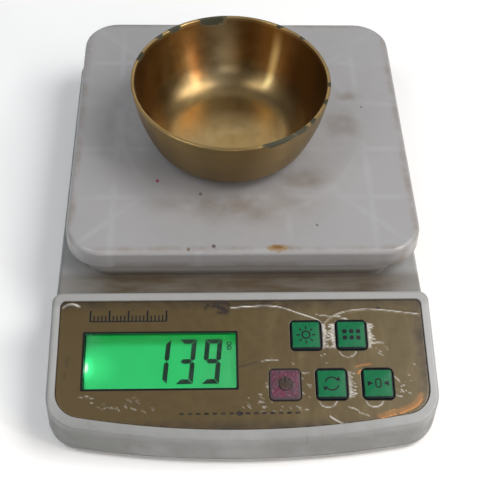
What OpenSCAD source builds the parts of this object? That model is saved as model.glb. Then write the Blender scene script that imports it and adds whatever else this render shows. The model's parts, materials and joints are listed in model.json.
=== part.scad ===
// Compact electronic weighing scale with a small turned brass bowl on its platform.
// A square platform stands on a single-point load cell at the back of the housing.
// A sloping panel in front of it holds the display and five keys.
// Frame: millimetres, +X to the right, +Y away from the person using it, +Z up.
// The origin is on the table under the middle of the scale.

/* [Housing] */
// Depth over the housing's bowed front and the platform's back edge
overall_d = 246.8; // [240:0.2:254]
// Half of the housing's width at its bottom edge
body_hw = 85.5; // [83.5:0.1:88]
// Height of the flat deck around the platform's island
deck_z = 23.6; // [22.5:0.1:24.5]
// Height of the island under the platform
island_z = 31.6; // [30.5:0.1:31.9]
// Radius of the housing's bowed front edge, seen from above
front_bow = 420; // [300:5:900]
// Wall thickness of the upper and lower shells
wall = 2.2; // [1.8:0.1:2.4]
// Height at which the upper shell meets the base
split_z = 5; // [4.8:0.1:5.4]

/* [Platform] */
// Width of the weighing platform
tray_w = 165; // [160:0.5:167]
// Depth of the weighing platform
tray_d = 164; // [160:0.5:166]
// Height of the platform's top above the table
tray_top = 43; // [42.5:0.1:44]
// Depth of the platform's skirt
tray_skirt = 10; // [9:0.1:10.4]
// Radius of the platform's corners, seen from above
tray_corner = 18; // [12:0.5:24]
// How far the platform sits to the right of the housing's middle
tray_shift = 1.8; // [0:0.1:2.4]

/* [Panel] */
// Slope of the control panel
panel_slope = 12; // [11:0.5:13]
// Height of the panel's upper edge
panel_top_z = 33.3; // [33:0.1:34]
// Distance from the panel's upper edge to the platform's front edge
panel_gap = 19.5; // [18.5:0.1:20.5]
// Half of the panel overlay's width
panel_hw = 80.4; // [79:0.1:81]
// Length of the panel overlay down the slope
panel_len = 59.4; // [59:0.1:59.8]
// How far the white rim stands above the panel overlay
rim_h = 0.8; // [0.5:0.1:1]

/* [Display and keys] */
// Width of the display window
window_w = 66; // [62:0.5:66]
// Height of the display window down the slope
window_l = 25.4; // [24:0.2:26]
// Width of a key
key_w = 13.3; // [12.5:0.1:13.6]
// Length of a key down the slope
key_l = 13.7; // [13:0.1:14]
// Distance between neighbouring keys
key_pitch = 20.1; // [19.6:0.1:20.4]
// Travel of a key
key_travel = 0.5; // [0.3:0.05:0.5]

/* [Bowl] */
// Outer radius of the bowl's rim
bowl_r = 47.3; // [44:0.1:49]
// Height of the bowl
bowl_h = 36.4; // [32:0.1:38]
// Radius at which the bowl's tapered wall would meet the platform
bowl_foot_r = 38.3; // [36:0.1:40]
// Outer radius of the bowl's rounded knee
bowl_knee = 15; // [12:0.5:17]
// Thickness of the bowl's wall
bowl_wall = 1.2; // [1.1:0.05:1.6]
// Thickness of the bowl's rim
rim_wall = 1.8; // [1.7:0.05:2]

/* [Feet and batteries] */
// Height of the housing's underside above the table
foot_gap = 1.8; // [1.6:0.1:2]
// Diameter of a battery cell
cell_d = 14.2; // [13.8:0.1:14.4]
// Length of a battery cell
cell_l = 50.2; // [49.5:0.1:50.4]

/* [Hidden] */
$fn = 64;
eps = 0.01;

// Plan of the housing
top_hw = body_hw - 1.2;
console_back = -52;
console_back_r = 3;
deck_front = -72;
rim_back_r = 4.5;
rim_front_r = 15;
overlay_back_r = 2.4;
overlay_front_r = 12;
front_y = -overall_d / 2;
tray_back = overall_d / 2;
tray_front = tray_back - tray_d;
tray_mid = [tray_shift, (tray_front + tray_back) / 2];
back_y = tray_back - 1.1;
body_corner = 17;
lip_t = 1.5;
base_z = foot_gap;
floor_z = base_z + wall;
lip_top = split_z + 3;
lip_gap = 0.3;
joint_gap = 0.05;
tray_skirt_z = tray_top - tray_skirt;

// Draft and edge rounding of the moulded parts
deck_draft = 1;
deck_round = 1.8;
island_draft = 0.6;
island_round = 1.2;
tray_draft = 0.3;
tray_round = 2.4;
rim_round = 1.4;
console_draft = 0.2;
skirt_draft = 0.2;
base_chamfer = 0.9;

// Island under the platform
island_hw = 72.4;
island_front = tray_front + 2.4;
island_back = back_y - 8;
island_corner = 12;

// Control panel, in its own frame: x right, y up the slope, z out of the panel
panel_y = tray_front - panel_gap;
overlay_t = 0.5;
rim_back = 4.2;
rim_front = panel_len + 5.1;
deck_plate = overlay_t + wall;
window_c = [-36, -28.1];
key_r = 1.8;
key_gap = 0.3;
key_rise = 0.9;
key_flange = 1.1;
key_flange_t = 0.7;
key_step = 0.35;
flange_r = key_r + 0.8;
flange_gap = 0.3;
pocket_depth = overlay_t + key_flange_t + key_travel + 0.2;
stem_r = 2;
row_1 = -17;
row_2 = -39.7;
key_mid_x = 38;
key_at = [
    [key_mid_x - key_pitch / 2, row_1], [key_mid_x + key_pitch / 2, row_1],
    [key_mid_x - key_pitch, row_2], [key_mid_x, row_2], [key_mid_x + key_pitch, row_2]
];

// Stack under the panel, each measured out of the panel
glass_top = -overlay_t - joint_gap;
glass_t = 1;
segment_t = 0.1;
glass_w = 70;
glass_l = 30.5;
glass_ledge = 2.6;
guide_top = glass_top - 2 * glass_t - segment_t;
guide_w = 66.2;
guide_l = 27.9;
guide_c = [-35.5, -29.05];
lamp_size = [1.7, 8, 2.6];
connector_w = 1.8;
connector_l = 60;
board_top = -8.4;
board_t = 1.6;
board_w = 142;
board_l = 46;
board_c = [0, -29];
holder_t = 1.2;
holder_gap = 0.1;
switch_h = 3.5;
switch_w = 6;
plunger_r = 1.7;
plunger_top = board_top + 4.3;
plunger_l = 1.4;
post_row = [-8.6, -48.2];
board_post_at = [for (x = [-66, 66], y = post_row) [x, y]];
mid_post_at = [for (y = post_row) [5, y]];
post_r = 2.6;
board_screw_r = 0.9;
board_screw_l = 4.2;
board_head = [2.1, 1.3];
chip_size = [12.4, 16, 2.4];
chip_at = [-12, -28];
part_size = [3.2, 1.6, 1.2];
sounder_size = [2.5, 4.6];
can_size = [2, 3.2];
plug_size = [8, 4, 2.2];

// Seven-segment digits; their lit segments come in the order top, upper right, lower right, bottom,
// lower left, upper left, middle
digit_h = 20.6;
digit_w = 7.5;
digit_pitch = 11.25;
segment_w = 2.1;
segment_gap = 0.15;
slant = 5.2;
digits = [[0, 1, 1, 0, 0, 0, 0], [1, 1, 1, 1, 0, 0, 1], [1, 1, 1, 1, 0, 1, 1]];
digits_corner = [-40.6, -38.4];

// Load cell along X under the middle of the platform
beam_w = 12.7;
beam_l = 80;
beam_z = 7.5;
beam_top = beam_z + beam_w;
boss_z = 6;
bolt_r = 2;
bolt_head_r = 3.5;
bolt_head_h = 2.2;
hex_r = 1.5;
bolt_gap = 0.15;
bolt_end = 6;
thread_l = 9;
gauge_bore_r = 5.1;
gauge_bore_x = 9;
gauge_slot_h = 5;
gauge_cover = [34, 9, 0.8];
fixed_x = tray_mid[0] - beam_l / 2 + bolt_end;
free_x = tray_mid[0] + beam_l / 2 - bolt_end;
bolt_pitch = 8;
fixed_bolts = [for (i = [0, 1]) [fixed_x + i * bolt_pitch, tray_mid[1]]];
free_bolts = [for (i = [0, 1]) [free_x - i * bolt_pitch, tray_mid[1]]];
free_mid = [free_x - bolt_pitch / 2, tray_mid[1]];
post_l = 22;
spacer_over = 5.5;
spider_z = tray_skirt_z;
spider_t = 3;
arm_r = 7;
hub_w = 34;
hub_reach = 18;
hub_over = 13;
pad_r = 5;
tray_screw_r = 1.3;
tray_head_r = 2.7;
tray_head_h = 1.7;
tray_screw_in = 3.6;
pad_at = [for (x = [-1, 1], y = [-1, 1]) [tray_mid[0] + x * 52, tray_mid[1] + y * 50]];
tray_plate = 2.2;
// Stiffening ribs under the platform: a grid, a ring and four diagonals
rib_t = 1.3;
rib_h = 4.6;
rib_x = [-61, -21, 21, 61];
rib_y = [-48, -16, 16, 48];
rib_ring = 60;
rib_diagonal = 46;

// Battery bay under the front of the island, cells lying along X
bay_w = 58.4;
bay_l = 33;
bay_back = -3;
bay_front = bay_back - bay_l;
bay_roof = 18.8;
bay_wall = 1.6;
door_t = 2;
door_gap = 0.25;
hinge_y = bay_back - 1.6;
hinge_z = base_z + door_t / 2;
hinge_r = 0.6;
hinge_over = 0.7;
thumb_r = 6;
thumb_l = 5;
groove_w = 18;
groove_pitch = 3;
cell_z = base_z + door_t + 0.35 + cell_d / 2;
cell_y = [for (i = [-1, 1]) bay_back - bay_l / 2 + i * (cell_d / 2 + 0.5)];
cell_tip_r = 2.7;
cell_tip_h = 1;
cell_shift = 0.6;
plate_size = [0.4, 10, 10];
plate_bump_r = 2.2;
coil_turns = 3;
coil_steps = 12;
coil_wire_r = 0.35;
coil_r = 4.8;
coil_taper = 2;

// Fasteners, feet and socket
foot_r = 7;
foot_at = [for (x = [-66, 66], y = [-84, 98]) [x, y]];
case_at = [for (x = [-76.3, 76.3], y = [-96, -30, 106]) [x, y]];
foot_pocket = 0.8;
screw_r = 1.45;
head_r = 2.8;
head_h = 2;
head_sink = 2.6;
case_boss_r = 4;
slot_size = [3.2, 0.7, 1.8];
socket_y = -74;
socket_z = 13;
socket_r = 4;
socket_size = [11.4, 10, 9];
socket_nose = 3;
socket_inner = body_hw - 15;
jack_r = 2.8;
jack_l = 12;
jack_pin_r = 1;
lead_r = 0.7;
cable_r = 1.2;

// Bowl: its place, and the bulge of its wall
bowl_at = [-3.6, 35.9];
bowl_bulge = 1.1;

// Colours
white = [0.83, 0.83, 0.81];
brass = [0.72, 0.55, 0.27];
gold_panel = [0.45, 0.38, 0.24];
key_green = [0.10, 0.55, 0.33];
board_green = [0.08, 0.32, 0.18];
metal = [0.72, 0.73, 0.75];
dark_steel = [0.2, 0.2, 0.22];
black = [0.08, 0.08, 0.09];

// Points of an arc about c from angle a to angle b
function arc(c, r, a, b, n = 8) = [for (i = [0:n]) let (t = a + (b - a) * i / n) c + r * [cos(t), sin(t)]];

// Rounded rectangle between two corners
function rounded(lo, hi, r, n = 8) = concat(
    arc([hi[0] - r, hi[1] - r], r, 0, 90, n), arc([lo[0] + r, hi[1] - r], r, 90, 180, n),
    arc([lo[0] + r, lo[1] + r], r, 180, 270, n), arc([hi[0] - r, lo[1] + r], r, 270, 360, n));

// Outline with straight sides and back and a front bowed to the radius bow
function bowed(hw, back, front, rb, rf, bow, n = 8) =
    let (xc = hw - rf, cy = front + bow, yc = cy - sqrt(pow(bow - rf, 2) - xc * xc), a = atan2(yc - cy, xc))
    concat(
        arc([hw - rb, back - rb], rb, 0, 90, n), arc([rb - hw, back - rb], rb, 90, 180, n),
        arc([-xc, yc], rf, 180, 180 - a, n), arc([0, cy], bow, 180 - a, 360 + a, 16),
        arc([xc, yc], rf, 360 + a, 360, n));

// Housing's plan, drawn in by i, and the same plan cut off at the back
function body_plan(i = 0) = bowed(
    body_hw - i, back_y - i, front_y + i, body_corner - i, body_corner - i, front_bow - i);
function console_plan(i = 0) = bowed(
    body_hw - i, console_back - i, front_y + i, console_back_r, body_corner - i, front_bow - i);
function deck_plan(i = 0) = rounded([i - body_hw, deck_front], [body_hw - i, back_y - i], body_corner - i);
// Rim of the panel, drawn in by i, in the panel's frame
function rim_plan(i = 0) = bowed(
    top_hw - i, rim_back - i, i - rim_front, rim_back_r - i / 2, rim_front_r - i, front_bow - i);
function overlay_plan(i = 0) = bowed(
    panel_hw - i, -i, i - panel_len, overlay_back_r, overlay_front_r, front_bow - rim_front + panel_len);
// Platform's plan and island's plan, drawn in by i
function tray_plan(i = 0) = rounded(
    [tray_mid[0] - tray_w / 2 + i, tray_front + i],
    [tray_mid[0] + tray_w / 2 - i, tray_back - i], tray_corner - i);
function island_plan(i = 0) = rounded(
    [-island_hw + i, island_front + i], [island_hw - i, island_back - i], island_corner - i / 2);
function box_plan(c, w, l, r) = rounded([c[0] - w / 2, c[1] - l / 2], [c[0] + w / 2, c[1] + l / 2], r, 5);

module slice(points, z) {
    translate([0, 0, z]) linear_extrude(eps) polygon(points);
}

module slab(points, z0, z1) {
    translate([0, 0, z0]) linear_extrude(z1 - z0) polygon(points);
}

// Slices of a block whose top edge is rounded to radius r; plan(i) is its outline drawn in by i
module round_top(plan, top, r, steps = 5) {
    for (k = [0:steps]) {
        a = 90 * k / steps;
        slice(plan(r * (1 - cos(a))), top - r + (r - eps) * sin(a));
    }
}

module rod(at, r, z0, z1) {
    translate([at[0], at[1], z0]) cylinder(h = z1 - z0, r = r);
}

// Children drawn in the panel's frame
module on_panel() {
    translate([0, panel_y, panel_top_z]) rotate([panel_slope, 0, 0]) children();
}

// ---- Housing ----

module console_block() {
    hull() {
        slice(console_plan(), split_z);
        slice(console_plan(console_draft), 2 * split_z + 1);
        on_panel() round_top(function(i) rim_plan(i), rim_h, rim_round);
    }
}

module console_hollow() {
    hull() {
        slice(console_plan(wall), split_z - 0.1);
        on_panel() slice(rim_plan(wall + 0.4), -deck_plate - eps);
    }
}

module deck_block() {
    hull() {
        slice(deck_plan(), split_z);
        round_top(function(i) deck_plan(deck_draft + i), deck_z, deck_round);
    }
}

module deck_hollow() {
    hull() {
        slice(deck_plan(wall), split_z - 0.1);
        slice(deck_plan(wall + 1), deck_z - wall);
    }
}

module island_block() {
    hull() {
        slice(island_plan(), deck_z - 1);
        round_top(function(i) island_plan(island_draft + i), island_z, island_round);
    }
}

module island_hollow() {
    slab(island_plan(wall + 0.6), deck_z - wall - 1, island_z - wall);
}

module case_bosses() {
    for (p = case_at) {
        ceiling = p[1] < panel_y
            ? panel_top_z + (p[1] - panel_y) * tan(panel_slope) - deck_plate
            : deck_z - wall;
        rod(p, case_boss_r, boss_z + joint_gap, ceiling + 0.7);
    }
}

module board_posts() {
    for (p = concat(board_post_at, mid_post_at)) rod(p, post_r, board_top, -deck_plate + 0.5);
}

module key_openings() {
    for (p = key_at) {
        side = 2 * (key_flange + flange_gap);
        slab(box_plan(p, key_w + side, key_l + side, flange_r + flange_gap), -pocket_depth, 1);
        rod(p, stem_r + 0.4, -deck_plate - 1, 1);
    }
}

module top_shell() {
    color(white) difference() {
        union() {
            difference() {
                union() {
                    console_block();
                    deck_block();
                    island_block();
                }
                console_hollow();
                deck_hollow();
                island_hollow();
            }
            case_bosses();
            on_panel() board_posts();
        }
        on_panel() {
            slab(overlay_plan(-0.15), -overlay_t, 3);
            slab(box_plan(window_c, glass_w + 0.3, glass_l + 0.3, 0.3), -deck_plate - 1, 1);
            key_openings();
            for (p = board_post_at)
                rod(p, board_screw_r + joint_gap, board_top - 1, board_top + board_screw_l + 0.3);
        }
        for (p = case_at) rod(p, screw_r - 0.1, 0, boss_z + thread_l);
        slab(box_plan(free_mid, post_l + 5, beam_w + 5, 3), deck_z - wall - 1, island_z + 1);
        translate([body_hw - jack_l, socket_y, socket_z]) rotate([0, 90, 0])
            cylinder(h = 20, r = socket_r + 0.1);
    }
}

module bay_walls() {
    outer_w = bay_w + 2 * bay_wall;
    outer_l = bay_l + 2 * bay_wall;
    translate([-outer_w / 2, bay_front - bay_wall, floor_z - eps])
        cube([outer_w, outer_l, bay_roof + bay_wall - floor_z]);
}

module base_shell() {
    color(white) difference() {
        union() {
            base_floor();
            base_lip();
            bay_walls();
            cell_boss();
            socket_cradle();
            for (p = case_at) rod(p, case_boss_r + 0.6, floor_z - 0.5, boss_z);
        }
        bay_openings();
        base_holes();
    }
}

module base_floor() {
    difference() {
        hull() {
            slice(body_plan(0.3 + base_chamfer), base_z);
            slice(body_plan(0.3), base_z + base_chamfer);
            slice(body_plan(0.1), split_z - joint_gap - eps);
        }
        slab(body_plan(wall + lip_t + lip_gap), floor_z, split_z + 1);
    }
}

// Lip on the base that lines the upper shell up
module base_lip() {
    difference() {
        slab(body_plan(wall + lip_gap), split_z - joint_gap, lip_top);
        slab(body_plan(wall + lip_gap + lip_t), split_z - 1, lip_top + 1);
    }
}

module cell_boss() {
    size = [bolt_pitch + 2 * bolt_end, beam_w + 3.3, boss_z - floor_z + 0.5];
    translate([fixed_x - bolt_end, tray_mid[1] - size[1] / 2, floor_z - 0.5]) cube(size);
}

module socket_cradle() {
    size = [socket_size[0] - 1.9, socket_size[1] - 1, socket_z - socket_size[2] / 2 - floor_z + 0.5];
    translate([socket_inner + 0.5, socket_y - size[1] / 2, floor_z - 0.5]) cube(size);
}

module bay_openings() {
    translate([-bay_w / 2, bay_front, 0]) cube([bay_w, bay_l, bay_roof]);
    for (s = [-1, 1]) translate([s * (bay_w / 2 - 1), hinge_y, hinge_z])
        rotate([0, s * 90, 0]) cylinder(h = 2.1, r = hinge_r + joint_gap);
}

module base_holes() {
    for (p = case_at) {
        rod(p, screw_r + bolt_gap, 0, boss_z + 1);
        rod(p, head_r + 0.3, 0, base_z + head_sink);
    }
    for (p = foot_at) rod(p, foot_r + 0.1, 0, base_z + foot_pocket);
    for (p = fixed_bolts) {
        rod(p, bolt_r + bolt_gap, 0, boss_z + 1);
        rod(p, bolt_head_r + 0.3, 0, base_z + bolt_head_h + 0.2);
    }
}

module rubber_feet() {
    color(black) for (p = foot_at) {
        rod(p, foot_r - 0.8, 0, 0.6);
        rod(p, foot_r, 0.6, base_z + foot_pocket);
    }
}

module case_screws() {
    color(metal) for (p = case_at) difference() {
        union() {
            rod(p, head_r, base_z + head_sink - head_h, base_z + head_sink);
            rod(p, screw_r - bolt_gap, base_z + head_sink - 0.1, boss_z + thread_l - 1);
        }
        cross_slot([p[0], p[1], base_z + head_sink - head_h]);
    }
}

// Cross-shaped drive cut into the screw head whose face has this middle
module cross_slot(middle) {
    for (a = [0, 90]) translate(middle) rotate([0, 0, a]) cube(slot_size, center = true);
}

// ---- Panel and display ----

module panel_overlay() {
    color(gold_panel) on_panel() difference() {
        slab(overlay_plan(), -overlay_t, 0);
        slab(box_plan(window_c, window_w, window_l, 0.6), -1, 1);
        for (p = key_at) slab(box_plan(p, key_w + 2 * key_gap, key_l + 2 * key_gap, key_r + key_gap), -1, 1);
    }
}

module display_window() {
    color([0.8, 0.9, 0.85, 0.4]) on_panel()
        slab(box_plan(window_c, window_w - 0.1, window_l - 0.1, 0.6), -overlay_t, -0.05);
}

// Front glass, and a shorter rear glass that leaves a ledge for the connector
module lcd_glass() {
    color([0.55, 0.75, 0.6, 0.5]) on_panel() for (i = [0, 1]) {
        z = glass_top - i * (glass_t + segment_t);
        translate([window_c[0] - glass_w / 2, window_c[1] - glass_l / 2, z - glass_t])
            cube([glass_w, glass_l - i * glass_ledge, glass_t]);
    }
}

function flip_x(points) = [for (p = points) [digit_w - p[0], p[1]]];
function flip_y(points) = [for (p = points) [p[0], digit_h - p[1]]];

// Upright outlines of a digit's segments, with mitred ends
segment_in = segment_w + segment_gap;
side_segment = [
    [digit_w, digit_h - segment_gap], [digit_w, (digit_h + segment_w) / 2],
    [digit_w - segment_w / 2, digit_h / 2 + segment_gap], [digit_w - segment_w, (digit_h + segment_w) / 2],
    [digit_w - segment_w, digit_h - segment_in]
];
top_segment = [
    [segment_gap, digit_h], [digit_w - segment_gap, digit_h],
    [digit_w - segment_in, digit_h - segment_w], [segment_in, digit_h - segment_w]
];
middle_segment = [
    [segment_in - segment_w / 2, digit_h / 2], [segment_in, (digit_h + segment_w) / 2],
    [digit_w - segment_in, (digit_h + segment_w) / 2], [digit_w - segment_in + segment_w / 2, digit_h / 2],
    [digit_w - segment_in, (digit_h - segment_w) / 2], [segment_in, (digit_h - segment_w) / 2]
];
segments = [
    top_segment, side_segment, flip_y(side_segment), flip_y(top_segment),
    flip_x(flip_y(side_segment)), flip_x(side_segment), middle_segment
];

module digit(lit) {
    for (i = [0:len(lit) - 1]) if (lit[i] == 1)
        polygon([for (p = segments[i]) [p[0] + p[1] * tan(slant), p[1]]]);
}

module lcd_segments() {
    z = glass_top - glass_t - segment_t + eps;
    color(black) on_panel() translate([digits_corner[0], digits_corner[1], z])
        linear_extrude(segment_t - 2 * eps)
            for (i = [0:len(digits) - 1]) translate([i * digit_pitch, 0]) digit(digits[i]);
}

module lcd_holder() {
    hole_w = glass_w + 2 * holder_gap;
    hole_l = glass_l + 2 * holder_gap;
    color(white) on_panel() difference() {
        slab(box_plan(window_c, hole_w + 2 * holder_t, hole_l + 2 * holder_t, 1), board_top, -deck_plate);
        slab(box_plan(window_c, hole_w, hole_l, 0.3), board_top - 1, -deck_plate + 1);
    }
}

module light_guide() {
    color([0.55, 0.95, 0.65]) on_panel()
        slab(box_plan(guide_c, guide_w, guide_l, 0.5), board_top + 0.2, guide_top - joint_gap);
}

// Side-looking lamp at the left end of the light guide, with a thin lens on its lit face
module backlight_led() {
    lens_t = 0.4;
    color([0.3, 0.9, 0.4]) on_panel()
        translate([window_c[0] - glass_w / 2, window_c[1] - lamp_size[1] * 0.6, board_top + joint_gap]) {
            cube(lamp_size);
            translate([lamp_size[0], 1, lens_t]) cube([lens_t, lamp_size[1] - 2, lamp_size[2] - 2 * lens_t]);
        }
}

// Rubber strip that joins the board to the front glass's ledge
module lcd_connector() {
    color(black) on_panel()
        translate([window_c[0] - connector_l / 2,
                   window_c[1] + glass_l / 2 - connector_w - 0.4, board_top + eps])
            cube([connector_l, connector_w, glass_top - glass_t - board_top - 2 * eps]);
}

// ---- Main board and keys ----

module main_board() {
    color(board_green) on_panel() difference() {
        slab(box_plan(board_c, board_w, board_l, 1.5), board_top - board_t, board_top);
        for (p = board_post_at) rod(p, 1.2, board_top - board_t - 1, board_top + 1);
    }
}

module board_components() {
    board_under = board_top - board_t;
    color(black) on_panel() {
        for (i = [0:3]) translate([8 + i * 9, -8.5, board_top]) cube(part_size);
        rod([66, -28], sounder_size[0], board_top, board_top + sounder_size[1]);
        translate([-58, -32, board_under - plug_size[2]]) cube(plug_size);
        for (i = [0:2]) rod([24 + i * 9, -20], can_size[0], board_under - can_size[1], board_under);
    }
}

module chip_cover() {
    color(black) on_panel() translate([chip_at[0], chip_at[1], board_top - board_t]) intersection() {
        translate([0, 0, chip_size[0] - chip_size[2]]) sphere(r = chip_size[0], $fn = 48);
        translate([0, 0, -chip_size[2]]) cube([chip_size[1], chip_size[1], 2 * chip_size[2]], center = true);
    }
}

module board_screws() {
    color(metal) on_panel() for (p = board_post_at) {
        rod(p, board_head[0], board_top - board_t - board_head[1], board_top - board_t);
        rod(p, board_screw_r, board_top - board_t - 0.1, board_top + board_screw_l);
    }
}

module tact_switches() {
    color(black) on_panel() for (p = key_at) difference() {
        slab(box_plan(p, switch_w, switch_w, 0.5), board_top, board_top + switch_h);
        rod(p, plunger_r + 0.08, plunger_top - plunger_l - key_travel - 0.2, board_top + switch_h + 1);
    }
}

module plunger(i) {
    color([0.75, 0.2, 0.15]) on_panel() rod(key_at[i], plunger_r, plunger_top - plunger_l, plunger_top);
}

// Key: raised pad, flange that holds it under the overlay, stem down to its switch
module key(i, c) {
    p = key_at[i];
    flange_top = -overlay_t - joint_gap;
    color(c) on_panel() {
        slab(box_plan(p, key_w, key_l, key_r), flange_top - 0.1, key_rise - key_step);
        slab(box_plan(p, key_w - 0.9, key_l - 0.9, key_r), key_rise - key_step, key_rise);
        slab(box_plan(p, key_w + 2 * key_flange, key_l + 2 * key_flange, flange_r),
            flange_top - key_flange_t, flange_top);
        rod(p, stem_r, plunger_top, flange_top);
    }
}

module key_light() {
    key(0, key_green);
}

module key_count() {
    key(1, key_green);
}

module key_power() {
    key(2, [0.62, 0.35, 0.42]);
}

module key_mode() {
    key(3, key_green);
}

module key_tare() {
    key(4, key_green);
}

// ---- Load cell and platform ----

// Beam with the dumb-bell opening that makes it bend evenly, bolted at both ends
module load_cell() {
    mid = beam_z + beam_w / 2;
    color(metal) difference() {
        translate([tray_mid[0] - beam_l / 2, tray_mid[1] - beam_w / 2, beam_z]) cube([beam_l, beam_w, beam_w]);
        for (s = [-1, 1]) translate([tray_mid[0] + s * gauge_bore_x, tray_mid[1] + beam_w, mid])
            rotate([90, 0, 0]) cylinder(h = 2 * beam_w, r = gauge_bore_r);
        translate([tray_mid[0] - gauge_bore_x, tray_mid[1] - beam_w, mid - gauge_slot_h / 2])
            cube([2 * gauge_bore_x, 2 * beam_w, gauge_slot_h]);
        for (p = fixed_bolts) rod(p, bolt_r + joint_gap, beam_z - 1, beam_z + thread_l);
        for (p = free_bolts) rod(p, bolt_r + joint_gap, beam_top - thread_l, beam_top + 1);
    }
}

module gauge_covers() {
    color([0.9, 0.9, 0.88]) for (z = [beam_z - gauge_cover[2], beam_top])
        slab(box_plan(tray_mid, gauge_cover[0], gauge_cover[1], 2), z, z + gauge_cover[2]);
}

module cell_spacer() {
    color(metal) difference() {
        translate([fixed_x - spacer_over, tray_mid[1] - beam_w / 2, boss_z])
            cube([bolt_pitch + 2 * spacer_over, beam_w, beam_z - boss_z]);
        for (p = fixed_bolts) rod(p, bolt_r + bolt_gap, 0, beam_z + 1);
    }
}

module cell_screws() {
    color(metal) for (p = fixed_bolts) difference() {
        union() {
            rod(p, bolt_head_r, base_z + 0.2, base_z + bolt_head_h + 0.2);
            rod(p, bolt_r, base_z + bolt_head_h, beam_z + thread_l - 1);
        }
        rod(p, hex_r, base_z - 1, base_z + 1.7);
    }
}

module load_post() {
    color(dark_steel) difference() {
        slab(box_plan(free_mid, post_l, beam_w, 2), beam_top, spider_z);
        for (p = free_bolts) rod(p, bolt_r + bolt_gap, beam_top - 1, spider_z + 1);
    }
}

module spider_arm(from, to) {
    hull() for (p = [from, to])
        translate([p[0], p[1], spider_z]) cylinder(h = spider_t, r = arm_r, $fn = 32);
}

module spider_bracket() {
    hub = [tray_mid[0] - hub_reach, tray_mid[1]];
    plate = box_plan((free_mid + hub) / 2, free_mid[0] - hub[0] + 2 * hub_over, hub_w, 6);
    color(dark_steel) difference() {
        union() {
            slab(plate, spider_z, spider_z + spider_t);
            for (i = [0:3]) spider_arm(i < 2 ? hub : free_mid, pad_at[i]);
        }
        for (p = free_bolts) rod(p, bolt_r + bolt_gap, spider_z - 1, spider_z + spider_t + 1);
        for (p = pad_at) {
            rod(p, tray_screw_r + 0.4, spider_z - 1, spider_z + spider_t + 1);
            rod(p, tray_head_r + 0.3, spider_z - 1, spider_z + tray_head_h);
        }
    }
}

module spider_screws() {
    z = spider_z + spider_t;
    color(metal) for (p = free_bolts) difference() {
        union() {
            rod(p, bolt_head_r, z, z + bolt_head_h);
            rod(p, bolt_r, beam_top - thread_l + 1, z + 0.1);
        }
        rod(p, hex_r, z + 0.9, z + bolt_head_h + 1);
    }
}

module tray_screws() {
    color(metal) for (p = pad_at) {
        rod(p, tray_head_r, spider_z + 0.1, spider_z + tray_head_h);
        rod(p, tray_screw_r, spider_z + tray_head_h - 0.1, spider_z + spider_t + tray_screw_in);
    }
}

module ribs() {
    h = rib_h + 1;
    translate([tray_mid[0], tray_mid[1], tray_top - tray_plate - rib_h]) {
        for (x = rib_x) translate([x - rib_t / 2, -tray_d / 2, 0]) cube([rib_t, tray_d, h]);
        for (y = rib_y) translate([-tray_w / 2, y - rib_t / 2, 0]) cube([tray_w, rib_t, h]);
        difference() {
            cylinder(h = h, r = rib_ring + rib_t / 2, $fn = 96);
            translate([0, 0, -1]) cylinder(h = h + 2, r = rib_ring - rib_t / 2, $fn = 96);
        }
        for (a = [45:90:315]) rotate([0, 0, a])
            translate([rib_ring, -rib_t / 2, 0]) cube([rib_diagonal, rib_t, h]);
    }
}

module platform_tray() {
    color(white) difference() {
        union() {
            difference() {
                hull() {
                    slice(tray_plan(skirt_draft), tray_skirt_z);
                    slice(tray_plan(), tray_skirt_z + 0.5);
                    round_top(function(i) tray_plan(tray_draft + i), tray_top, tray_round);
                }
                slab(tray_plan(2.1), tray_skirt_z - 1, tray_top - tray_plate);
            }
            intersection() {
                ribs();
                slab(tray_plan(1.6), tray_skirt_z, tray_top - 1);
            }
            for (p = pad_at) rod(p, pad_r, spider_z + spider_t, tray_top - 1.5);
        }
        for (p = pad_at) rod(p, tray_screw_r + joint_gap, spider_z, spider_z + spider_t + tray_screw_in + 0.2);
        slab(box_plan(free_mid, post_l, beam_w + 1.3, 2), spider_z, tray_top - tray_plate);
    }
}

// ---- Batteries, wiring and socket ----

// Door hinged on two stub pins at its rear edge, with a thumb recess at its front
module battery_door() {
    front = bay_front + door_gap;
    door_w = bay_w - 2 * door_gap;
    pin_l = bay_w + 2 * hinge_over;
    color(white) difference() {
        union() {
            translate([-door_w / 2, front, base_z]) cube([door_w, hinge_y - front, door_t]);
            translate([-door_w / 2, hinge_y, hinge_z]) rotate([0, 90, 0])
                cylinder(h = door_w, r = door_t / 2);
            translate([-pin_l / 2, hinge_y, hinge_z]) rotate([0, 90, 0]) cylinder(h = pin_l, r = hinge_r);
        }
        translate([0, front + thumb_l, base_z]) intersection() {
            cylinder(h = door_t, r = thumb_r, center = true);
            translate([-thumb_r, -thumb_l / 2, -door_t]) cube([2 * thumb_r, thumb_l, 2 * door_t]);
        }
        for (i = [2:5]) translate([-groove_w / 2, front + thumb_l / 2 + i * groove_pitch, base_z - 1])
            cube([groove_w, 1, 1.4]);
    }
}

module battery_cells() {
    color([0.15, 0.25, 0.6]) for (i = [0, 1]) {
        s = i == 0 ? 1 : -1;
        translate([-s * cell_shift, cell_y[i], cell_z]) rotate([0, s * 90, 0]) {
            translate([0, 0, -cell_l / 2]) cylinder(h = cell_l - cell_tip_h, r = cell_d / 2);
            translate([0, 0, cell_l / 2 - cell_tip_h]) cylinder(h = cell_tip_h, r = cell_tip_r);
        }
    }
}

// Conical coil pressed between the bay wall and a cell's flat end
module battery_springs() {
    count = coil_turns * coil_steps;
    room = (bay_w - cell_l) / 2 - cell_shift - 2 * coil_wire_r - 0.2;
    color(metal) for (i = [0, 1]) {
        side = (2 * i - 1) * (bay_w / 2 - coil_wire_r - 0.1);
        wire([for (k = [0:count])
            let (a = k * 360 / coil_steps + 7, r = coil_r - coil_taper * k / count)
            [side - sign(side) * room * k / count, cell_y[i] + r * cos(a), cell_z + r * sin(a)]], coil_wire_r, 6);
    }
}

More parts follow.
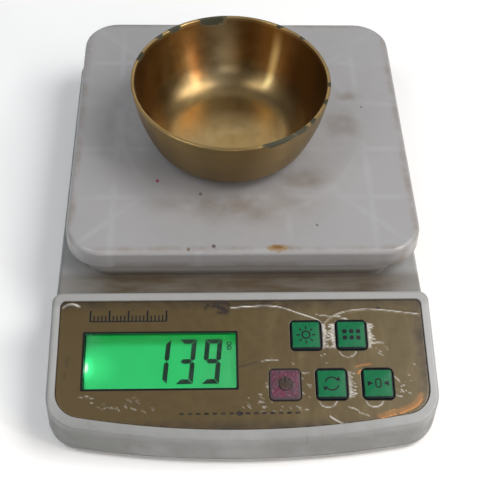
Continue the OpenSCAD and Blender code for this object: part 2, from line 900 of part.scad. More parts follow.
module battery_plates() {
    color(metal) for (i = [0, 1]) {
        s = i == 0 ? 1 : -1;
        middle = bay_w / 2 - plate_size[0] / 2 - joint_gap;
        bump_l = middle - plate_size[0] / 2 - joint_gap - (cell_l / 2 - cell_shift);
        translate([s * middle, cell_y[i], cell_z]) {
            cube(plate_size, center = true);
            translate([-s * plate_size[0] / 2, 0, 0]) rotate([0, -s * 90, 0])
                cylinder(h = bump_l, r = plate_bump_r);
        }
    }
}

// Round wire of radius r swept through a list of points, none of its stretches vertical
module wire(points, r, sides = 8) {
    n = len(points);
    rings = [for (i = [0:n - 1])
        let (
            t = unit(points[min(i + 1, n - 1)] - points[max(i - 1, 0)]),
            u = unit(cross(t, [0, 0, 1])),
            v = cross(u, t)
        )
        for (k = [0:sides - 1]) points[i] + r * (cos(k * 360 / sides) * u + sin(k * 360 / sides) * v)];
    sides_of = [for (i = [0:n - 2], k = [0:sides - 1])
        let (a = i * sides + k, b = i * sides + (k + 1) % sides)
        each [[a, b, b + sides], [a, b + sides, a + sides]]];
    start_cap = [[for (k = [sides - 1:-1:0]) k]];
    end_cap = [[for (k = [0:sides - 1]) (n - 1) * sides + k]];
    polyhedron(rings, concat(sides_of, start_cap, end_cap));
}

function unit(v) = v / norm(v);

module cell_cable() {
    color([0.75, 0.1, 0.1]) wire([
        [tray_mid[0] - beam_l / 2 - 0.2, tray_mid[1], 13], [-43, 39, 11], [-46, 32, 9], [-46, -46, 8],
        [-43, -56, 9], [-40, -64, 13], [-40, -72, 18.9]
    ], cable_r);
}

module power_wires() {
    color(black) {
        for (s = [-1, 1]) wire([
            [s * 20, bay_front - bay_wall - lead_r, 12], [s * 17, -56, 9],
            [s * 16, -64, 12], [s * 16, -72, 19.2]
        ], lead_r);
        wire([[socket_inner - 0.2, socket_y, socket_z], [62, -72, 12], [56, -71, 15], [54, -71, 19]],
             lead_r + 0.2);
    }
}

module dc_socket() {
    color(black) difference() {
        union() {
            translate([socket_inner, socket_y - socket_size[1] / 2, socket_z - socket_size[2] / 2])
                cube(socket_size);
            translate([socket_inner + socket_size[0] - 0.1, socket_y, socket_z])
                rotate([0, 90, 0]) cylinder(h = socket_nose, r = socket_r);
        }
        translate([socket_inner + 4, socket_y, socket_z]) rotate([0, 90, 0]) difference() {
            cylinder(h = jack_l, r = jack_r);
            translate([0, 0, -1]) cylinder(h = jack_l - 2, r = jack_pin_r);
        }
    }
}

// ---- Bowl ----

// Outer wall of the bowl: flat foot, rounded knee, tapered and slightly bulged wall
wall_a = atan2(bowl_h, bowl_r - bowl_foot_r);
knee_c = [bowl_foot_r + bowl_knee / tan(wall_a) - bowl_knee / sin(wall_a), bowl_knee];
knee_a = wall_a - atan(PI * bowl_bulge / (bowl_h - bowl_knee));
knee_end = knee_c + bowl_knee * [sin(knee_a), -cos(knee_a)];

function wall_point(s, i) =
    let (t = i * (s < 0.9 ? 1 : 1 + (s - 0.9) * 10 * (rim_wall / bowl_wall - 1)))
    knee_end + s * ([bowl_r, bowl_h] - knee_end) + [bowl_bulge * sin(180 * s) - t, 0];

module brass_bowl() {
    steps = 10;
    inner_knee = bowl_knee - bowl_wall;
    color(brass) translate([bowl_at[0], bowl_at[1], tray_top]) rotate_extrude($fn = 96) polygon(concat(
        [[0, 0]],
        arc(knee_c, bowl_knee, -90, knee_a - 90, 8),
        [for (k = [1:steps]) wall_point(k / steps, 0)],
        [for (k = [steps:-1:1]) wall_point(k / steps, bowl_wall)],
        arc(knee_c, inner_knee, knee_a - 90, -90, 8),
        [[0, bowl_wall]]));
}

top_shell();
base_shell();
rubber_feet();
case_screws();
panel_overlay();
display_window();
lcd_glass();
lcd_segments();
lcd_holder();
light_guide();
backlight_led();
lcd_connector();
main_board();
board_components();
chip_cover();
board_screws();
tact_switches();
key_light();
key_count();
key_power();
key_mode();
key_tare();
plunger(0);  // plunger_light
plunger(1);  // plunger_count
plunger(2);  // plunger_power
plunger(3);  // plunger_mode
plunger(4);  // plunger_tare
load_cell();
gauge_covers();
cell_spacer();
cell_screws();
cell_cable();
battery_door();
battery_cells();
battery_springs();
battery_plates();
power_wires();
dc_socket();
load_post();
spider_bracket();
spider_screws();
tray_screws();
platform_tray();
brass_bowl();
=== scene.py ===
"""Looks of a compact weighing scale with a brass bowl on it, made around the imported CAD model.

Lengths are millimetres until a mesh is made; objects are in metres. The panel's frame has x to the right,
y up the slope and z out of the panel, with its origin on the panel's upper edge.
"""
import json
import math
import random

import bmesh
import bpy
import numpy as np
from mathutils import Matrix, Vector, geometry


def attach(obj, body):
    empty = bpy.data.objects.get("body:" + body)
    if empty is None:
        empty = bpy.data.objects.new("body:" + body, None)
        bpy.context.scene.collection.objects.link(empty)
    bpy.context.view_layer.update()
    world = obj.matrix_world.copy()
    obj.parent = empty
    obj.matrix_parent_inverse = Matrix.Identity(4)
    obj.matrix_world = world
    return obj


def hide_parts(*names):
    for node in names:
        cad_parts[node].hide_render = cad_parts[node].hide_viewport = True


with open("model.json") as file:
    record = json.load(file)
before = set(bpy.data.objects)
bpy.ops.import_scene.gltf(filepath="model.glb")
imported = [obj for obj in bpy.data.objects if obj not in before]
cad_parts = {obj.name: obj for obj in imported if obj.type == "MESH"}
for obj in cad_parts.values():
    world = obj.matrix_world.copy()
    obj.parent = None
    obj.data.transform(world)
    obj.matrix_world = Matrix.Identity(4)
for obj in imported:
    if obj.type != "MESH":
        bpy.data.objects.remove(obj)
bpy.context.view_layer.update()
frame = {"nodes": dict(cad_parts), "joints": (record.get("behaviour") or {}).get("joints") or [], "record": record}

MM = 0.001
BODY_OF = {node: body for body, nodes in frame["record"]["behaviour"]["bodies"].items() for node in nodes}
KEYS = ("light", "count", "power", "mode", "tare")


# ---- Frame ----

def joint_axis(name):
    return Vector(next(joint["axis"] for joint in frame["joints"] if joint["name"] == name))


def box_in(matrix, node):
    """Lowest and highest corner of a CAD node in a frame given in millimetres."""
    to_frame = matrix.inverted()
    points = np.array([to_frame @ (vertex.co / MM) for vertex in frame["nodes"][node].data.vertices])
    return Vector(points.min(0)), Vector(points.max(0))


WORLD = Matrix.Identity(4)
FILM_T = 0.5
SLOPE = math.asin(joint_axis("light_press").y)
film_high = box_in(WORLD, "panel_overlay")[1]
PANEL_AT = Vector((0, film_high.y - FILM_T * math.sin(SLOPE), film_high.z))
PANEL = Matrix.Translation(PANEL_AT) @ Matrix.Rotation(SLOPE, 4, "X")
TRAY_LOW, TRAY_HIGH = box_in(WORLD, "platform_tray")
TRAY_MID = Vector(((TRAY_LOW.x + TRAY_HIGH.x) / 2, (TRAY_LOW.y + TRAY_HIGH.y) / 2, TRAY_HIGH.z))
BOWL_LOW, BOWL_HIGH = box_in(WORLD, "brass_bowl")
BOWL_MID = Vector(((BOWL_LOW.x + BOWL_HIGH.x) / 2, (BOWL_LOW.y + BOWL_HIGH.y) / 2, BOWL_LOW.z))


# ---- Camera and studio ----

CAMERA_AT = Vector((-16.1, -324.8, 397.3))
CAMERA_PITCH = math.radians(50.75)
CAMERA_YAW = math.radians(3.57)
CAMERA_ROLL = math.radians(-2.47)
CAMERA_LENS = 73.8


def add_camera():
    forward = Vector((
        math.sin(CAMERA_YAW) * math.cos(CAMERA_PITCH),
        math.cos(CAMERA_YAW) * math.cos(CAMERA_PITCH),
        -math.sin(CAMERA_PITCH),
    ))
    level = Vector((math.cos(CAMERA_YAW), -math.sin(CAMERA_YAW), 0))
    down = forward.cross(level)
    right = level * math.cos(CAMERA_ROLL) + down * math.sin(CAMERA_ROLL)
    up = level * math.sin(CAMERA_ROLL) - down * math.cos(CAMERA_ROLL)
    camera = bpy.data.objects.new("camera", bpy.data.cameras.new("camera"))
    camera.data.lens = CAMERA_LENS
    camera.data.clip_start = 0.01
    turned = Matrix((right, up, -forward)).transposed().to_4x4()
    camera.matrix_world = Matrix.Translation(CAMERA_AT * MM) @ turned
    bpy.context.scene.collection.objects.link(camera)
    bpy.context.scene.camera = camera


def add_softbox(name, at, aim, size, watts, colour):
    light = bpy.data.objects.new(name, bpy.data.lights.new(name, "AREA"))
    light.data.shape = "RECTANGLE"
    light.data.size, light.data.size_y = size
    light.data.energy = watts
    light.data.color = colour
    light.location = at
    light.rotation_euler = (Vector(aim) - Vector(at)).to_track_quat("-Z", "Y").to_euler()
    bpy.context.scene.collection.objects.link(light)


def add_studio():
    middle = (0, 0, 0.03)
    add_softbox("main", (0.57, -0.1, 0.9), middle, (0.5, 0.55), 7.5, (1, 0.99, 0.97))
    add_softbox("fill", (-0.5, -0.25, 0.9), middle, (0.25, 0.5), 2.4, (0.97, 0.99, 1))
    add_softbox("right", (0.8, -0.5, 0.6), middle, (0.08, 0.5), 2.2, (1, 0.98, 0.95))
    add_softbox("warm", (0.65, -0.65, 0.5), middle, (0.08, 0.35), 1, (1, 0.62, 0.36))
    add_softbox("left", (-0.9, -0.45, 0.6), middle, (0.04, 0.5), 1.1, (0.97, 0.99, 1))
    add_softbox("back", (0.05, 0.8, 0.75), middle, (0.6, 0.3), 0.55, (1, 1, 1))
    add_softbox("front", (0, -1, 0.45), middle, (0.5, 0.3), 1, (1, 0.98, 0.95))
    world = bpy.data.worlds.new("studio")
    world.use_nodes = True
    background = world.node_tree.nodes["Background"]
    background.inputs["Color"].default_value = (0.93, 0.96, 1, 1)
    background.inputs["Strength"].default_value = 0.3
    bpy.context.scene.world = world
    bpy.context.scene.view_settings.view_transform = "Standard"


# ---- Procedural surfaces ----

def rgb(red, green, blue):
    """Linear colour of a colour given as it looks, 0 to 255."""
    levels = [value / 255 for value in (red, green, blue)]
    return tuple(v / 12.92 if v <= 0.04045 else ((v + 0.055) / 1.055) ** 2.4 for v in levels) + (1,)


class Surface:
    """Principled material made of procedural nodes, which read the rest position in millimetres."""

    def __init__(self, name, frame_matrix=WORLD, **sockets):
        self.material = bpy.data.materials.new(name + "_look")
        self.material.use_nodes = True
        self.tree = self.material.node_tree
        self.shader = self.tree.nodes["Principled BSDF"]
        for socket, value in sockets.items():
            self.set(socket.replace("_", " "), value)
        place = self.node("Mapping", vector_type="TEXTURE")
        place.inputs["Location"].default_value = frame_matrix.translation * MM
        place.inputs["Rotation"].default_value = frame_matrix.to_euler()
        place.inputs["Scale"].default_value = (MM, MM, MM)
        self.put(place.inputs["Vector"], self.node("TexCoord").outputs["Object"])
        self.at = place.outputs[0]
        split = self.node("SeparateXYZ")
        self.put(split.inputs[0], self.at)
        self.x, self.y, self.z = split.outputs
        self.tone = None

    def node(self, kind, **settings):
        made = self.tree.nodes.new("ShaderNode" + kind)
        for name, value in settings.items():
            setattr(made, name, value)
        return made

    def put(self, socket, value):
        if isinstance(value, bpy.types.NodeSocket):
            self.tree.links.new(value, socket)
        else:
            socket.default_value = value

    def set(self, socket, value):
        self.put(self.shader.inputs[socket], value)

    def math(self, operation, *values):
        made = self.node("Math", operation=operation)
        for socket, value in zip(made.inputs, values):
            self.put(socket, value)
        return made.outputs[0]

    def fit(self, value, low, high, to_low=0.0, to_high=1.0):
        made = self.node("MapRange", interpolation_type="SMOOTHSTEP")
        names = ("Value", "From Min", "From Max", "To Min", "To Max")
        for name, number in zip(names, (value, low, high, to_low, to_high)):
            self.put(made.inputs[name], number)
        return made.outputs["Result"]

    def both(self, first, *others):
        """Product of masks and shares."""
        for other in others:
            first = self.math("MULTIPLY", first, other)
        return first

    def either(self, first, *others):
        """Strongest of the masks."""
        for other in others:
            first = self.math("MAXIMUM", first, other)
        return first

    def stretched(self, scales, at=None):
        made = self.node("VectorMath", operation="MULTIPLY")
        self.put(made.inputs[0], at or self.at)
        self.put(made.inputs[1], scales)
        return made.outputs[0]

    def noise(self, size, detail=3, roughness=0.55, at=None):
        """Noise whose largest features are about size millimetres."""
        made = self.node("TexNoise")
        self.put(made.inputs["Vector"], at or self.at)
        made.inputs["Scale"].default_value = 1 / size
        made.inputs["Detail"].default_value = detail
        made.inputs["Roughness"].default_value = roughness
        return made.outputs[0]

    def specks(self, pitch, size, share):
        """Small round marks of that size, in that share of cells pitch millimetres wide."""
        made = self.node("TexVoronoi")
        self.put(made.inputs["Vector"], self.at)
        made.inputs["Scale"].default_value = 1 / pitch
        split = self.node("SeparateColor")
        self.put(split.inputs[0], made.outputs["Color"])
        chosen = self.math("LESS_THAN", split.outputs[0], share)
        return self.both(chosen, self.fit(made.outputs["Distance"], size / pitch, 0.5 * size / pitch))

    def spot(self, centre, radii, soft=0.5, rough=0.0, rough_size=2.0):
        """Elliptical mark; soft is the share of its radius that fades out, rough how ragged its edge is."""
        offset = self.node("VectorMath", operation="SUBTRACT")
        self.put(offset.inputs[0], self.at)
        self.put(offset.inputs[1], centre)
        length = self.node("VectorMath", operation="LENGTH")
        self.put(length.inputs[0], self.stretched([1 / radius for radius in radii], offset.outputs[0]))
        distance = length.outputs["Value"]
        if rough:
            ragged = self.math("MULTIPLY", self.math("SUBTRACT", self.noise(rough_size, 4), 0.5), rough)
            distance = self.math("ADD", distance, ragged)
        return self.fit(distance, 1, 1 - soft)

    def mix(self, factor, first, second):
        made = self.node("Mix", data_type="RGBA")
        self.put(made.inputs[0], factor)
        self.put(made.inputs[6], first)
        self.put(made.inputs[7], second)
        return made.outputs[2]

    def tint(self, mask, red, green, blue):
        """Lays a colour over the tone so far where the mask is."""
        self.tone = self.mix(mask, self.tone, rgb(red, green, blue))

    def crevices(self, reach):
        """How deep in a corner a point lies, with nothing within reach giving 0."""
        made = self.node("AmbientOcclusion", samples=6)
        made.inputs["Distance"].default_value = reach * MM
        return self.math("SUBTRACT", 1, made.outputs["AO"])

    def bump(self, height, depth):
        """Adds relief of that depth in millimetres under what is there already."""
        made = self.node("Bump")
        made.inputs["Distance"].default_value = depth * MM
        self.put(made.inputs["Height"], height)
        linked = self.shader.inputs["Normal"].links
        if linked:
            self.put(made.inputs["Normal"], linked[0].from_socket)
        self.set("Normal", made.outputs[0])

    def colour(self, socket):
        self.set("Base Color", socket)
        return self.material


def shell_plastic():
    """White moulded housing, scuffed: brown grime and painted shade in its corners and behind the rim; painted
    shade on its walls.
    """
    s = Surface("shell_plastic", Roughness=0.4, IOR=1.5)
    s.tone = s.mix(s.noise(60, 2), rgb(150, 151, 152), rgb(159, 159, 158))
    s.tint(s.fit(s.noise(9, 5), 0.5, 0.8, 0, 0.35), 141, 139, 133)
    side_x = s.math("ABSOLUTE", s.x)
    # Behind the rim, under the platform: brown grime and painted shade, darkest in the middle.
    valley_dirt_and_shade = s.both(s.fit(side_x, 90, 55, 0.45, 1), s.fit(s.y, -58.5, -55), s.fit(s.y, -34, -40))
    valley_dirt_and_shade = s.both(valley_dirt_and_shade, s.fit(s.z, 28, 25))
    streaks = s.noise(8, 5, 0.6, s.stretched((0.25, 1, 1)))
    s.tint(s.both(valley_dirt_and_shade, s.fit(streaks, 0.2, 0.75, 0.7, 1)), 76, 62, 42)
    # Painted shadow: a dark line along the foot of the island, under the platform's front lip.
    foot = s.both(s.fit(s.y, -40.5, -38.5), s.fit(s.y, -33, -35), s.fit(s.z, 27.5, 24.5))
    s.tint(s.both(foot, s.fit(side_x, 74, 60), 0.35), 82, 72, 58)
    # Painted shade on the back slope of the rim.
    rim_back_shade = s.both(s.fit(s.y, -64, -61), s.fit(s.y, -54, -57), s.fit(s.z, 24.5, 25.5), 0.4)
    s.tint(rim_back_shade, 128, 127, 124)
    # Painted shade: the front wall is darker lower down; brown grime runs down it as well.
    wall = s.both(s.fit(s.z, 27, 16), s.fit(s.y, -50, -70), s.fit(s.noise(22, 4), 0.2, 0.7, 0.5, 1))
    s.tint(s.both(wall, 0.75), 94, 94, 91)
    # Painted shade on the left: the left part of the front wall and the left side.
    side = s.either(s.both(s.fit(s.z, 27, 16), s.fit(s.x, -30, -70)), s.fit(s.x, -81.5, -84.5))
    s.tint(s.both(side, 0.6), 92, 94, 90)
    runs = s.noise(3.5, 4, 0.6, s.stretched((1, 1, 0.25)))
    s.tint(s.both(wall, s.fit(runs, 0.55, 0.75, 0, 0.4)), 96, 88, 76)
    # Brown grime and painted shade in corners, by how enclosed a point is.
    corner = s.both(s.fit(s.crevices(5), 0.25, 0.8), s.fit(s.noise(12, 4), 0.35, 0.7))
    s.tint(s.both(corner, 0.7), 96, 74, 56)
    s.tint(s.both(s.specks(9, 0.5, 0.14), 0.7), 120, 96, 78)
    s.set("Roughness", s.fit(s.noise(5, 4), 0.3, 0.8, 0.3, 0.52))
    s.bump(s.noise(14, 2), 0.12)
    s.bump(s.noise(0.7, 2), 0.006)
    return s.colour(s.tone)


def base_plastic():
    s = Surface("base_plastic", Roughness=0.5)
    s.tone = s.mix(s.noise(30, 3), rgb(143, 144, 144), rgb(153, 153, 152))
    s.tint(s.both(s.fit(s.noise(10, 5), 0.5, 0.75), 0.5), 118, 111, 100)
    s.set("Roughness", s.fit(s.noise(4, 4), 0.3, 0.8, 0.42, 0.6))
    s.bump(s.noise(0.5, 2), 0.012)
    return s.colour(s.tone)


RIB_X = (21, 61)
RIB_Y = (16, 48)
RIB_RING = 60


def tray_plastic():
    """White platform: the ribs show through faintly; brown grime along its edges and round the bowl, where it is
    also painted shadow, and small stains.
    """
    s = Surface("tray_plastic", Matrix.Translation(TRAY_MID), Roughness=0.38, IOR=1.5)
    s.tone = s.mix(s.noise(45, 3), rgb(144, 143, 144), rgb(151, 150, 151))
    size = (TRAY_HIGH - TRAY_LOW) / 2
    side_x = s.math("ABSOLUTE", s.x)
    side_y = s.math("ABSOLUTE", s.y)
    gaps = [s.math("ABSOLUTE", s.math("SUBTRACT", side_x, x)) for x in RIB_X]
    gaps += [s.math("ABSOLUTE", s.math("SUBTRACT", side_y, y)) for y in RIB_Y]
    from_mid = s.math("POWER", s.math("ADD", s.math("POWER", s.x, 2), s.math("POWER", s.y, 2)), 0.5)
    gaps.append(s.math("ABSOLUTE", s.math("SUBTRACT", from_mid, RIB_RING)))
    inside_ring = s.math("MULTIPLY", s.math("LESS_THAN", from_mid, RIB_RING), 100)
    diagonal = s.math("MULTIPLY", s.math("ABSOLUTE", s.math("SUBTRACT", side_x, side_y)), 0.7)
    gaps.append(s.math("ADD", diagonal, inside_ring))
    nearest = gaps[0]
    for gap in gaps[1:]:
        nearest = s.math("MINIMUM", nearest, gap)
    ribs = s.both(s.fit(nearest, 2.4, 0.6), s.fit(s.noise(25, 3), 0.35, 0.65))
    s.tint(s.both(ribs, 0.6), 157, 157, 159)
    from_edge = s.math("MINIMUM", s.math("SUBTRACT", size.x, side_x), s.math("SUBTRACT", size.y, side_y))
    worn = s.noise(16, 5, 0.6)
    rim = s.both(s.fit(from_edge, 5.5, 2.5), s.fit(from_edge, 0.5, 2.5), s.fit(worn, 0.35, 0.7))
    s.tint(s.both(rim, 0.6), 118, 104, 87)
    bowl_x = BOWL_MID.x - TRAY_MID.x
    # Brown grime round the bowl's foot, darkest in front and to the right; it is also the bowl's painted shadow.
    dirt_and_bowl_shadow = s.either(
        s.spot((bowl_x + 6, -53, 0), (52, 16, 4), 0.9, 0.7, 22),
        s.spot((bowl_x + 55, 2, 0), (15, 13, 4), 0.9, 0.8, 12),
        s.spot((bowl_x + 36, -36, 0), (20, 10, 4), 0.9, 0.8, 12),
        s.spot((bowl_x + 62, 22, 0), (9, 5, 4), 0.9, 0.9, 4),
    )
    smear_and_shadow = s.both(dirt_and_bowl_shadow, s.fit(worn, 0.3, 0.7, 0.3, 1))
    s.tint(s.both(smear_and_shadow, 0.65), 108, 96, 83)
    low = s.both(s.fit(s.z, -5, -9.5), s.fit(worn, 0.35, 0.65))
    s.tint(s.both(low, 0.5), 114, 104, 90)
    front = -size.y
    stain = s.spot((14.9, front + 3.0, 0), (6.0, 2.4, 4), 0.45, 0.9, 1.6)
    s.tint(s.both(stain, 0.8), 136, 108, 66)
    core = s.spot((14.9, front + 3.4, 0), (3.6, 1.6, 4), 0.8, 0.7, 1.2)
    s.tint(s.both(core, 0.85), 112, 76, 28)
    marks = (
        ((-40.7, front + 44.6, 0), 1.0, (140, 40, 84)),
        ((-20.1, front + 36.1, 0), 1.0, (92, 88, 88)),
        ((34, front + 16.5, 0), 0.8, (104, 100, 100)),
        ((62.6, front + 96, 0), 0.9, (120, 112, 108)),
        ((-14.1, front + 4.1, 0), 1.1, (86, 80, 78)),
        ((-25.6, front + 2.4, 0), 1.0, (112, 98, 88)),
    )
    for centre, radius, look in marks:
        s.tint(s.spot(centre, (radius, radius * 1.3, 3), 0.5, 0.5, 0.8), *look)
    s.tint(s.both(s.specks(17, 0.45, 0.3), 0.55), 128, 118, 110)
    s.set("Roughness", s.fit(s.noise(7, 4), 0.3, 0.8, 0.3, 0.5))
    s.bump(s.noise(18, 2), 0.1)
    s.bump(s.fit(nearest, 0, 2.5), 0.03)
    s.bump(s.noise(0.6, 2), 0.006)
    return s.colour(s.tone)


def bowl_brass():
    """Turned satin brass, with fine grooves round its axis and dark green tarnish at the rim, and painted shade,
    glow and reflection streaks.
    """
    s = Surface("bowl_brass", Matrix.Translation(BOWL_MID), Metallic=1.0, Anisotropic_Rotation=0.25)
    tangent = s.node("Tangent", direction_type="RADIAL", axis="Z")
    s.set("Tangent", tangent.outputs[0])
    radius = s.math("POWER", s.math("ADD", s.math("POWER", s.x, 2), s.math("POWER", s.y, 2)), 0.5)
    ring = s.node("CombineXYZ")
    s.put(ring.inputs[0], radius)
    s.put(ring.inputs[1], s.z)
    grooves = s.noise(0.5, 3, 0.6, ring.outputs[0])
    bands = s.noise(5, 3, 0.6, ring.outputs[0])
    patches = s.noise(24, 4, 0.55)
    s.tone = s.mix(s.fit(patches, 0.35, 0.7), rgb(170, 146, 102), rgb(170, 142, 92))
    s.tint(s.fit(bands, 0.4, 0.75, 0, 0.5), 160, 132, 84)
    s.tint(s.fit(s.noise(9, 5), 0.55, 0.8, 0, 0.4), 132, 106, 68)
    shade = s.spot((40, 6, 20), (26, 40, 26), 1.0)
    s.tint(s.both(shade, 0.75), 92, 66, 36)
    glow = s.spot((-44, -8, 16), (24, 36, 28), 1.0)
    s.tint(s.both(glow, s.fit(s.z, 2, 9), 0.8), 104, 58, 24)
    # Painted shade: the outside darker than the inside.
    s.tint(s.both(painted(s, "outside"), 0.6), 108, 88, 56)
    inside = s.math("SUBTRACT", 1, painted(s, "outside"))
    # Painted shade: the inner wall darker and more orange, as where light bounces inside.
    wall = s.both(inside, s.fit(s.z, 8, 16), s.fit(s.z, 35.6, 34))
    s.tint(s.both(wall, 0.85), 128, 94, 50)
    # Painted shade: the inner knee darker, which dims its highlights.
    knee = s.both(inside, s.fit(s.z, 1.2, 3), s.fit(s.z, 16, 9))
    s.tint(s.both(knee, 0.7), 98, 80, 54)
    # Painted reflections: light and orange streaks up the inner wall, and a dark one.
    turn = s.math("ARCTAN2", s.y, s.x)
    streaks = (
        (97, 18, 0, 46, 0.85, (184, 164, 126)),
        (57, 5, 2, 38, 0.75, (226, 204, 140)),
        (117, 7, 2, 34, 0.5, (210, 156, 98)),
        (76, 10, 10, 44, 0.5, (128, 84, 36)),
    )
    for angle, wide, low, high, strength, shine in streaks:
        off = s.math("ABSOLUTE", s.math("SUBTRACT", turn, math.radians(angle)))
        across = s.fit(off, math.radians(wide), 0)
        along = s.both(s.fit(s.z, low, low + 10), s.fit(s.z, high, high - 16))
        s.tint(s.both(inside, across, along, strength), *shine)
    height = BOWL_HIGH.z - BOWL_LOW.z
    rim_r = (BOWL_HIGH.x - BOWL_LOW.x) / 2
    patina = (
        (-63, 9.5, 2.6), (-48, 5, 2.2), (-38, 2.5, 1.6), (-20, 2.5, 1.4), (-5, 2, 1.3), (40, 2.2, 1.4),
        (57, 2.6, 1.6), (101, 9, 5.5), (126, 5, 2.6), (138, 3, 2.2), (160, 4, 2.4),
    )
    masks = []
    for angle, wide, deep in patina:
        turn = math.radians(angle)
        centre = (rim_r * math.cos(turn), rim_r * math.sin(turn), height)
        masks.append(s.spot(centre, (wide, wide, deep), 0.3, 0.9, 2.2))
    tarnish = s.either(*masks)
    s.tint(s.both(tarnish, 0.93), 34, 42, 30)
    nick = s.spot((4.5, -22, 1), (0.5, 2.6, 2), 0.5, 0.3, 1)
    s.tint(s.both(nick, 0.8), 60, 46, 30)
    s.tint(s.both(s.specks(11, 0.6, 0.25), 0.6), 96, 72, 44)
    satin = s.fit(s.noise(7, 4), 0.3, 0.8, 0.3, 0.38)
    s.set("Roughness", s.math("MAXIMUM", satin, s.both(tarnish, 0.75)))
    s.set("Metallic", s.math("SUBTRACT", 1, s.both(tarnish, 0.85)))
    s.set("Anisotropic", s.fit(s.z, 2, 10, 0.3, 0.8))
    s.bump(grooves, 0.006)
    return s.colour(s.tone)


def painted(surface, name):
    made = surface.node("Attribute", attribute_name=name)
    return made.outputs["Fac"]


def panel_film():
    """Brass-coloured printed film with a clear coat; its wear, and painted highlights and reflections, are painted
    on the mesh.
    """
    s = Surface("panel_film", PANEL, Metallic=0.4, Coat_Weight=0.2, Coat_Roughness=0.2)
    grain = s.noise(0.6, 2, 0.7, s.stretched((0.15, 1, 1)))
    s.tone = s.mix(s.noise(40, 3), rgb(78, 62, 31), rgb(87, 71, 37))
    # Painted sheen: lighter towards the right.
    s.tint(s.fit(s.x, -20, 90, 0, 0.75), 82, 70, 43)
    s.tint(s.fit(grain, 0.35, 0.7, 0, 0.12), 90, 76, 48)
    s.tint(s.fit(s.noise(6, 5), 0.55, 0.8, 0, 0.35), 66, 50, 28)
    # Painted sheen: light cloudy bands on the right.
    cloudy_sheen = s.noise(9, 4, 0.6, s.stretched((1, 0.3, 1)))
    s.tint(s.both(s.fit(cloudy_sheen, 0.45, 0.7, 0, 0.5), s.fit(s.x, -10, 30)), 106, 92, 62)
    grime = s.either(s.fit(s.x, 73, 79), s.fit(s.y, -6, -0.5), s.fit(s.y, -53, -59))
    s.tint(s.both(grime, s.fit(s.noise(7, 5), 0.35, 0.7, 0.3, 0.85)), 50, 40, 30)
    flaked = s.both(painted(s, "smudge"), s.fit(s.noise(1.1, 4, 0.7), 0.36, 0.46))
    s.tint(flaked, 40, 28, 26)
    s.tint(painted(s, "glint"), 196, 124, 54)
    # White scratches, and painted highlights and reflections.
    scratch_and_highlight = s.both(painted(s, "scratch_and_highlight"), s.fit(s.noise(5, 3), 0.35, 0.6, 0.4, 1))
    s.tint(scratch_and_highlight, 222, 220, 214)
    s.tint(painted(s, "print"), 16, 20, 24)
    bare = s.math("SUBTRACT", 1, s.either(painted(s, "print"), scratch_and_highlight))
    s.set("Metallic", s.both(bare, 0.4))
    s.set("Roughness", s.fit(s.noise(4, 5), 0.3, 0.8, 0.38, 0.52))
    s.bump(s.noise(22, 2), 0.15)
    s.bump(grain, 0.004)
    return s.colour(s.tone)


def key_film(name, middle, worn):
    """Glossy key with a black printed edge; middle is its centre in the panel's frame."""
    s = Surface(name, PANEL @ Matrix.Translation((middle.x, middle.y, 0)), Specular_IOR_Level=0.15)
    if worn:
        s.tone = s.mix(s.fit(s.noise(2.2, 5, 0.7), 0.35, 0.65), rgb(104, 48, 72), rgb(72, 54, 60))
        s.tint(s.fit(s.noise(0.9, 4), 0.5, 0.7), 114, 82, 92)
        s.tint(s.spot((0, 0.5, 1), (4.6, 3.6, 4), 0.6, 0.7, 2.5), 64, 54, 48)
        rubbed = s.both(s.fit(s.noise(1.2, 4, 0.7, s.stretched((1, 0.35, 1))), 0.62, 0.7), 0.8)
        edge_look = (74, 62, 66)
    else:
        s.tone = s.mix(s.noise(9, 3), rgb(14, 94, 58), rgb(22, 104, 66))
        s.tint(s.fit(s.noise(1.5, 4), 0.5, 0.8, 0, 0.3), 8, 80, 46)
        rubbed = s.both(s.fit(s.noise(1.6, 4, 0.7, s.stretched((1, 0.3, 1))), 0.68, 0.76), 0.55)
        edge_look = (14, 24, 26)
    s.tint(rubbed, 128, 136, 130)
    # Printed edge, wider along the bottom, where it also stands for painted shade of the key's side.
    reach = s.math("MAXIMUM", s.math("ABSOLUTE", s.x), s.math("ABSOLUTE", s.math("ADD", s.y, -0.15)))
    ragged = s.math("MULTIPLY", s.math("SUBTRACT", s.noise(1.5, 3), 0.5), 0.5)
    edge = s.fit(s.math("ADD", reach, ragged), 5.75, 6.0)
    s.tint(edge, *edge_look)
    s.set("Roughness", s.fit(s.noise(2, 4), 0.3, 0.8, 0.28, 0.5))
    s.bump(s.noise(3, 3), 0.08)
    return s.colour(s.tone)


def clear(name, look, roughness):
    s = Surface(name, Transmission_Weight=1.0, Roughness=roughness, IOR=1.12)
    s.tone = s.mix(s.noise(12, 3), look, tuple(0.97 * level for level in look[:3]) + (1,))
    s.bump(s.noise(20, 2), 0.02)
    return s.colour(s.tone)


LAMP_AT = (-68.1, -30.3)


